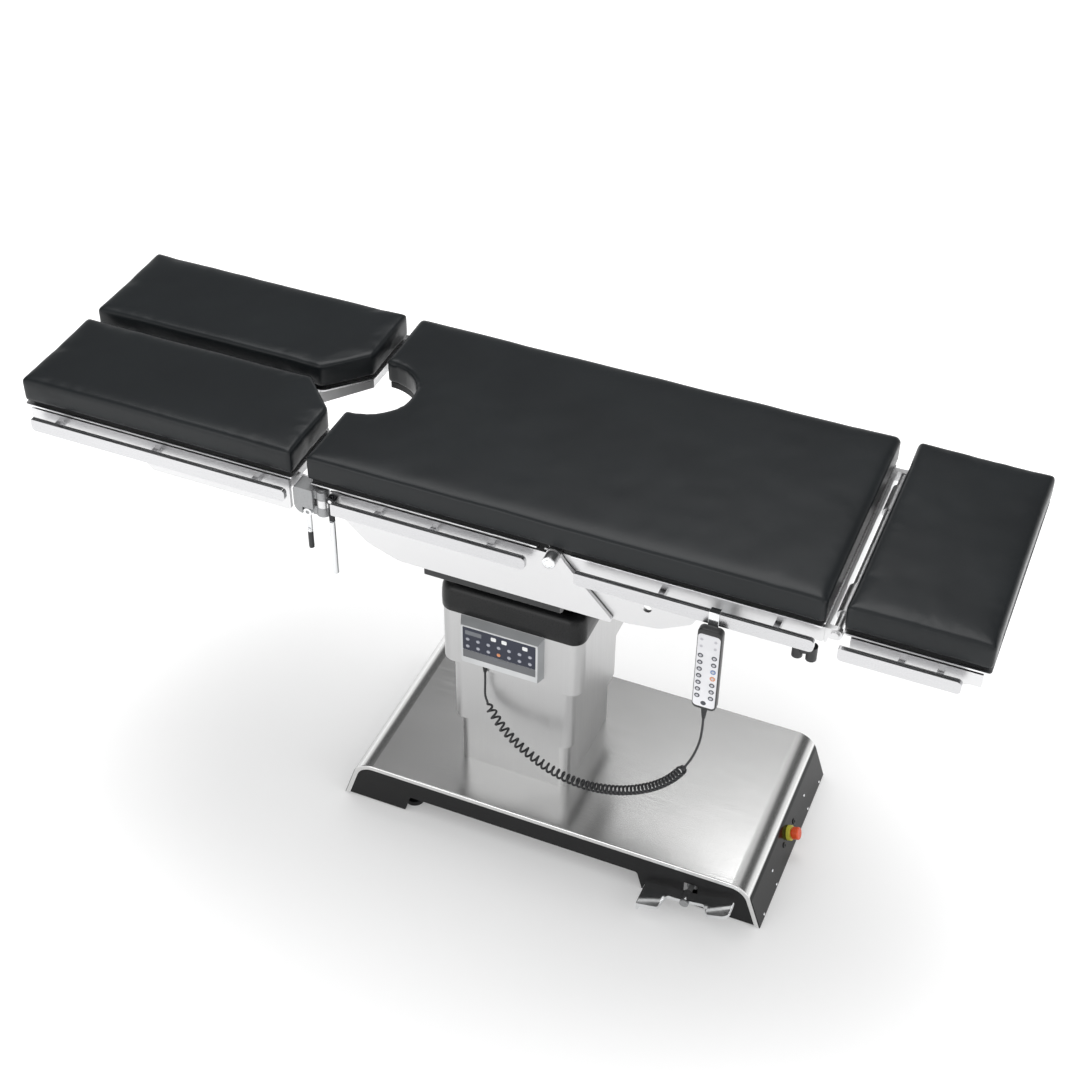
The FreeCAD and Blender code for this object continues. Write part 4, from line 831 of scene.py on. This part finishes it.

# %% [markdown]
# A rubber boot closes the gap between the column and the tilting top. Below is a firm moulded rim, above
# are soft folds. A fold has to lean with two hinges that cross, so it is made as two rings of rubber that
# meet on the cross piece. Rubber folds bulge where they are pressed together and sink in between, so the
# rings swell out and in, and slow noise makes them sag unevenly.

# %% Boot
column_x = 0.033
boot_steps = 16


def boot_ring(z, half_x, half_y, radius, sag=0.0):
    ring = []
    for x, y in rounded_box(column_x, 0, half_x, half_y, radius, boot_steps):
        out = Vector((x - column_x, y, 0)).normalized()
        lift = noise.noise(Vector((x * 7, y * 7, z * 16))) * sag
        ring.append(Vector((x, y, z)) + out * lift)
    return ring


def boot_piece(name, profile, wall, sag=0.0):
    outer = [boot_ring(z, hx, hy, r, sag) for z, hx, hy, r in profile]
    inner = [boot_ring(z, hx - wall, hy - wall, r - wall, sag) for z, hx, hy, r in profile[::-1]]
    rubber = piece_from(name, loft(outer + inner, closed=True), boot_rubber, 60)
    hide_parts("boot")
    return rubber


rim_wall, fold_wall, fold_sag = 0.004, 0.002, 0.006
rim_profile = [(0.5685, 0.1600, 0.1500, 0.028), (0.571, 0.1612, 0.1512, 0.029),
               (0.590, 0.1618, 0.1518, 0.030), (0.608, 0.1616, 0.1516, 0.031),
               (0.620, 0.1606, 0.1506, 0.031), (0.628, 0.1580, 0.1480, 0.030),
               (0.6335, 0.1535, 0.1435, 0.029), (0.6360, 0.1470, 0.1370, 0.028),
               (0.6355, 0.1420, 0.1320, 0.028), (0.6325, 0.1390, 0.1290, 0.028)]
rim = boot_piece("boot_rim", rim_profile, rim_wall)
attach(rim, "column_top")


fold_crest, fold_pitch, fold_depth = 0.6540, 0.044, 0.0105
fold_half_x, fold_half_y, fold_corner, fold_taper = 0.1380, 0.1280, 0.036, 0.22
fold_foot, fold_middle, fold_top = 0.633, 0.687, 0.7275


def folds(z0, z1, count):
    """Rows of a fold between two heights, taken from one long wave."""
    rows = []
    for k in range(count + 1):
        z = z0 + (z1 - z0) * k / count
        wave = math.cos(2 * math.pi * (z - fold_crest) / fold_pitch)
        swell = fold_depth * wave * (1.0 if wave > 0 else 1.3)
        narrowing = fold_taper * (z - fold_crest)
        rows.append((z, fold_half_x + swell - narrowing, fold_half_y + swell - narrowing, fold_corner))
    return rows


lower_fold = boot_piece("boot_fold_low", folds(fold_foot, fold_middle, 26), fold_wall, fold_sag)
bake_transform(lower_fold)
upper_fold = boot_piece("boot_fold_high", folds(fold_middle, fold_top, 20), fold_wall, fold_sag)
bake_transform(upper_fold)
print("boot of", sum(len(o.data.polygons) for o in (rim, lower_fold, upper_fold)), "faces")

# %% [markdown]
# Keys repeat on a grid, so Geometry Nodes lay them out. The tree takes one key, the number of columns and
# rows and their pitches, and a place and a turn, because the finished object itself has to sit unturned at
# the origin. The result is turned into a plain mesh and the modifier is taken off again.

# %% A grid of copies
def grid_tree():
    tree = bpy.data.node_groups.new("grid_of_copies", "GeometryNodeTree")
    face = tree.interface
    face.new_socket("Geometry", in_out="INPUT", socket_type="NodeSocketGeometry")
    for label, kind in (("Copy", "Object"), ("Columns", "Int"), ("Rows", "Int"), ("Column pitch", "Float"),
                        ("Row pitch", "Float"), ("Place", "Vector"), ("Turn", "Vector"),
                        ("Finish", "Material")):
        face.new_socket(label, in_out="INPUT", socket_type="NodeSocket" + kind)
    face.new_socket("Geometry", in_out="OUTPUT", socket_type="NodeSocketGeometry")
    nodes, links = tree.nodes, tree.links
    given = nodes.new("NodeGroupInput")

    def whole(label, pitch):
        fewer = calculated(tree, "SUBTRACT", given.outputs[label], 1)
        return calculated(tree, "MULTIPLY", fewer, given.outputs[pitch])

    grid = nodes.new("GeometryNodeMeshGrid")
    links.new(whole("Columns", "Column pitch"), grid.inputs["Size X"])
    links.new(whole("Rows", "Row pitch"), grid.inputs["Size Y"])
    links.new(given.outputs["Columns"], grid.inputs["Vertices X"])
    links.new(given.outputs["Rows"], grid.inputs["Vertices Y"])
    shape = nodes.new("GeometryNodeObjectInfo")
    links.new(given.outputs["Copy"], shape.inputs["Object"])
    copies = nodes.new("GeometryNodeInstanceOnPoints")
    links.new(grid.outputs["Mesh"], copies.inputs["Points"])
    links.new(shape.outputs["Geometry"], copies.inputs["Instance"])
    placed = nodes.new("GeometryNodeTransform")
    links.new(copies.outputs["Instances"], placed.inputs["Geometry"])
    links.new(given.outputs["Place"], placed.inputs["Translation"])
    links.new(given.outputs["Turn"], placed.inputs["Rotation"])
    real = nodes.new("GeometryNodeRealizeInstances")
    links.new(placed.outputs["Geometry"], real.inputs["Geometry"])
    painted = nodes.new("GeometryNodeSetMaterial")
    links.new(real.outputs["Geometry"], painted.inputs["Geometry"])
    links.new(given.outputs["Finish"], painted.inputs["Material"])
    out = nodes.new("NodeGroupOutput")
    links.new(painted.outputs["Geometry"], out.inputs[0])
    return tree


copies_tree = grid_tree()
socket_id = {item.name: item.identifier for item in copies_tree.interface.items_tree
             if item.in_out == "INPUT"}


def lay_out(name, shape, material, columns, rows, pitches, place, turn, angle=40):
    """Copies of a shape on a grid, as one plain mesh at the origin."""
    master = add_object(name + "_shape", mesh_of(shape, name + "_shape"))
    holder = add_object(name, bpy.data.meshes.new(name))
    layout = holder.modifiers.new("copies", "NODES")
    layout.node_group = copies_tree
    for label, value in (("Copy", master), ("Columns", columns), ("Rows", rows), ("Column pitch", pitches[0]),
                         ("Row pitch", pitches[1]), ("Place", place), ("Turn", turn), ("Finish", material)):
        layout[socket_id[label]] = value
    bpy.context.view_layer.update()
    mesh = plain_copy(holder, name)
    holder.modifiers.remove(layout)
    holder.data = mesh
    bpy.data.objects.remove(master)
    shade(mesh, angle)
    return holder


# %% [markdown]
# The control panel is a printed sheet stuck on a hood: a dark field with a row of lamps, a small display
# and two rows of round keys, and a grey strip below. Every field is a thin tile with rounded corners, seen
# from the front, so one helper makes them all.

# %% Tiles that face the front
def front_tile(x, z, half_x, half_z, radius, y, thickness=0.0008):
    """A thin tile in an upright plane. y is the plane that it stands on, and its face is nearer."""
    rings = ((y + 0.0003, 0), (y - thickness * 0.6, 0), (y - thickness, thickness * 0.5))
    return loft([[Vector((px, level_y, pz)) for px, pz in
                  rounded_box(x, z, half_x - d, half_z - d, max(radius - d, 0.0002), 4)]
                 for level_y, d in rings])


def tiles(name, material, body, slot, nodes, rows):
    bm = bmesh.new()
    for row in rows:
        join_into(bm, front_tile(*row))
    return fasten(piece_from(name, bm, material), body, slot, *nodes)


# %% Control panel
navy = moulded("navy", (0.012, 0.016, 0.036), 0.34, 1200, 0.06)
strip_grey = moulded("strip_grey", (0.15, 0.155, 0.165), 0.4, 1200, 0.06)
frame_white = moulded("frame_white", (0.66, 0.67, 0.68), 0.35)
key_ring = moulded("key_ring", (0.07, 0.08, 0.12), 0.35)
key_cap = moulded("key_cap", (0.44, 0.45, 0.50), 0.35)
key_orange = moulded("key_orange", (0.75, 0.30, 0.13), 0.35)
lamp_white = moulded("lamp_white", (0.88, 0.89, 0.89), 0.25)
display_grey = moulded("display_grey", (0.17, 0.18, 0.20), 0.15)

panel_x, hood_face = 0.0175, -0.167
sheet_face, detail_face = hood_face - 0.0010, hood_face - 0.0017
panel_nodes = ["panel_keypad"]
towards_front = (math.radians(90), 0, 0)
flat_key = [(0, 0), (0.0051, 0), (0.0051, 0.0004), (0.0046, 0.0007), (0, 0.0008)]
raised_key = [(0, 0), (0.0038, 0), (0.0038, 0.0009), (0.0032, 0.0013), (0, 0.0014)]

tiles("panel_frame", frame_white, "column_top", "hood", panel_nodes,
      [(panel_x, 0.5045, 0.0862, 0.0522, 0.0035, hood_face, 0.0012)])
tiles("panel_sheet", navy, "column_top", "membrane", panel_nodes,
      [(panel_x, 0.5215, 0.0818, 0.0316, 0.0016, sheet_face)])
tiles("panel_strip", strip_grey, "column_top", "membrane", panel_nodes,
      [(panel_x, 0.4788, 0.0818, 0.0106, 0.0016, sheet_face)])
tiles("panel_slot", display_grey, "column_top", "membrane", panel_nodes,
      [(0.0215, 0.4822, 0.0200, 0.0017, 0.0010, detail_face, 0.0004),
       (-0.0400, 0.5395, 0.0185, 0.0058, 0.0015, detail_face, 0.0005)])
tiles("panel_lamps", lamp_white, "column_top", "membrane", panel_nodes,
      [(x, 0.5405, 0.0058, 0.0052, 0.0026, detail_face, 0.0006) for x in (0.0055, 0.0295, 0.0760)])

key_pitch, key_z = 0.02335, (0.5020, 0.5215)
key_y = hood_face - 0.0016
for name, profile, material, lift in (("panel_key_rings", flat_key, key_ring, 0.0),
                                      ("panel_keys", raised_key, key_cap, 0.0004)):
    keys = lay_out(name, turned(profile), material, 7, 2, (key_pitch, key_z[1] - key_z[0]),
                   (panel_x, key_y - lift, sum(key_z) / 2), towards_front)
    fasten(keys, "column_top", "membrane", *panel_nodes)
    print(name, len(keys.data.polygons), "faces")
reset_line = [(0, 0), (0.0043, 0), (0.0043, 0.0012), (0.0037, 0.0018), (0, 0.0019)]
reset_key = turned(reset_line, place=(panel_x, key_y - 0.0004, key_z[0]),
                   turn=Matrix.Rotation(math.radians(90), 4, "X"))
fasten(piece_from("panel_key_reset", reset_key, key_orange), "column_top", "membrane", *panel_nodes)

# %% [markdown]
# The hand control is a slim black shell with a white sheet on its face. Its keys stand in two columns of
# seven dark rings, with two fainter pairs above and a single key below. It hangs on the rail by a bent
# strip of bright steel, and the cord leaves it through a ribbed, tapered sleeve.

# %% Hand control shell
hand_x, hand_low, hand_high, hand_half = 0.500, 0.668, 0.870, 0.024
hand_back, hand_face = -0.2912, -0.309
hand_corner = 0.0105
shell_rings = [(hand_back, 0.0024), (-0.2919, 0.0009), (-0.2938, 0), (-0.3052, 0), (-0.3072, 0.0005),
               (-0.3085, 0.0014), (hand_face, 0.0024)]
shell = loft([[Vector((x, y, z)) for x, z in rounded_box(
    hand_x, (hand_low + hand_high) / 2, hand_half - d, (hand_high - hand_low) / 2 - d, hand_corner - d, 8)]
    for y, d in shell_rings])
fasten(piece_from("handset_body", shell, handset_plastic, 50), "handset", "dark_plastic", "handset_shell")

hook_line = [(-0.2928, 0.728), (-0.2903, 0.728), (-0.2903, 0.8983), (-0.2797, 0.8983), (-0.2797, 0.882),
             (-0.2772, 0.882), (-0.2772, 0.9008), (-0.2928, 0.9008)]
hook_sides = (0.490, 0.510)
hook = piece_from("handset_hook", loft([[Vector((x, y, z)) for y, z in hook_line] for x in hook_sides]),
                  bright_chrome)
rounding = hook.modifiers.new("rounding", "BEVEL")
rounding.width = 0.0006
rounding.segments = 2
fasten(hook, "handset", "chrome", "handset_shell")

sleeve = piece_from("handset_sleeve", relief_cone(0.0037, 0.0070, 0.638, 0.6684, (hand_x, -0.300, 0), 6),
                    cord_rubber)
fasten(sleeve, "handset", "dark_plastic", "handset_shell")

# %% Hand control face
handset_white = moulded("handset_white", (0.90, 0.90, 0.93), 0.35, 1200, 0.06)
ring_dark = moulded("ring_dark", (0.055, 0.06, 0.075), 0.4)
key_pale = moulded("key_pale", (0.62, 0.62, 0.66), 0.4)
key_blue = moulded("key_blue", (0.16, 0.26, 0.50), 0.4)

hand_nodes = ["handset_keypad"]
tiles("handset_sheet", handset_white, "handset", "handset_face", hand_nodes,
      [(hand_x, 0.7675, 0.0217, 0.0918, 0.0075, hand_face, 0.0009)])
ring = [(0, 0), (0.0053, 0), (0.0053, 0.0005), (0.0047, 0.0008), (0.0034, 0.0008), (0.0030, 0.0004),
        (0, 0.0004)]
dot = [(0, 0), (0.0029, 0), (0.0029, 0.0008), (0.0022, 0.0011), (0, 0.0011)]
key_face = hand_face - 0.0008
first_row, row_pitch, column_pitch, columns_x = 0.7025, 0.01725, 0.0270, 0.4995


def hand_keys(name, profile, material, columns, rows, x, z, lift=0.0):
    keys = lay_out(name, turned(profile, 20), material, columns, rows, (column_pitch, row_pitch),
                   (x, key_face - lift, z), towards_front)
    fasten(keys, "handset", "handset_face", *hand_nodes)


middle_z = first_row + 3 * row_pitch
right_x = columns_x + column_pitch / 2
hand_keys("handset_rings", ring, ring_dark, 2, 7, columns_x, middle_z)
hand_keys("handset_dots", dot, key_pale, 2, 7, columns_x, middle_z)
hand_keys("handset_top_keys", dot, key_pale, 2, 2, columns_x, first_row + 8.0 * row_pitch - 0.0025)
hand_keys("handset_low_key", ring, ring_dark, 1, 1, columns_x, first_row - 0.0165)
hand_keys("handset_key_blue", ring, key_blue, 1, 1, right_x, first_row + 4 * row_pitch, 0.0004)
hand_keys("handset_key_orange", ring, key_orange, 1, 1, right_x, first_row + 3 * row_pitch, 0.0004)

# %% [markdown]
# Small hardware makes the metal work read at its true size. The leaning end of the base carries screws and
# two sockets beside the stop button. They are laid out flat, on the plane of that end, and then turned on
# to it in one step.

# %% Hardware on the end of the base
lean = math.atan(end_lean)
end_out = Vector((math.cos(lean), 0, math.sin(lean)))
end_up = Vector((-math.sin(lean), 0, math.cos(lean)))
end_place = Matrix.Translation((base_middle + base_half, 0, 0)) @ Matrix(
    (Vector((0, 1, 0)), end_up, end_out)).transposed().to_4x4()


def on_end(name, material, slot, profile, places):
    """The same turned shape at several places, given across and up the end wall."""
    bm = bmesh.new()
    for across, up_wall in places:
        join_into(bm, turned(profile, 20, (across, up_wall, 0)))
    bm.transform(end_place)
    return fasten(piece_from(name, bm, material), "base", slot)


screw = [(0, 0.0011), (0.0012, 0.0011), (0.0014, 0.0019), (0.0026, 0.0017), (0.0034, 0.0008),
         (0.0034, -0.0002), (0, -0.0002)]
screw_places = [(y, z) for y in (-0.117, 0.117) for z in (0.011, 0.052)] + [(-0.205, 0.011), (0.205, 0.011)]
on_end("end_screws", bright_chrome, "chrome", screw, screw_places)
socket = [(0, 0.0002), (0.0030, 0.0002), (0.0032, 0.0020), (0.0060, 0.0020), (0.0066, 0.0012),
          (0.0066, -0.0002), (0, -0.0002)]
on_end("end_sockets", dark_plastic, "dark_plastic", socket, [(-0.034, 0.046), (0.038, 0.048)])

# %% [markdown]
# Each short clamping lever ends in a dark sleeve below a bright ring. A sleeve is a turned shape a little
# wider than the bar inside it. The back's hinge pins end in a bright cap with a groove.

# %% Lever sleeves and hinge caps
short_x, short_y, grip_low = -0.345, 0.269, 0.7517
cap_y = 0.2868
sleeve_line = [(0, grip_low), (0.0035, grip_low), (0.0054, grip_low + 0.0018), (0.0057, grip_low + 0.006),
               (0.0056, 0.793), (0.0050, 0.7945), (0, 0.7945)]
ring_line = [(0, 0.7948), (0.0054, 0.7948), (0.0058, 0.7955), (0.0058, 0.7990), (0.0054, 0.7997), (0, 0.7997)]
cap_line = [(0, 0), (0.0128, 0), (0.0128, 0.0005), (0.0118, 0.0010), (0.0090, 0.0011), (0.0086, 0.0006),
            (0.0078, 0.0006), (0.0074, 0.0011), (0, 0.0013)]
for name, side in (("left", -1), ("right", 1)):
    at = (short_x, side * short_y, 0)
    fasten(piece_from("lever_sleeve_" + name, turned(sleeve_line, place=at), dark_plastic),
           "leg_tilt_lever_" + name, "dark_plastic")
    fasten(piece_from("lever_ring_" + name, turned(ring_line, place=at), bright_chrome),
           "leg_tilt_lever_" + name, "chrome")
    outwards = Matrix.Rotation(math.radians(-90 * side), 4, "X")
    fasten(piece_from("hinge_cap_" + name, turned(cap_line, 32, (hinge_x, side * cap_y, hinge_z), outwards),
                      bright_chrome), "seat", "chrome")
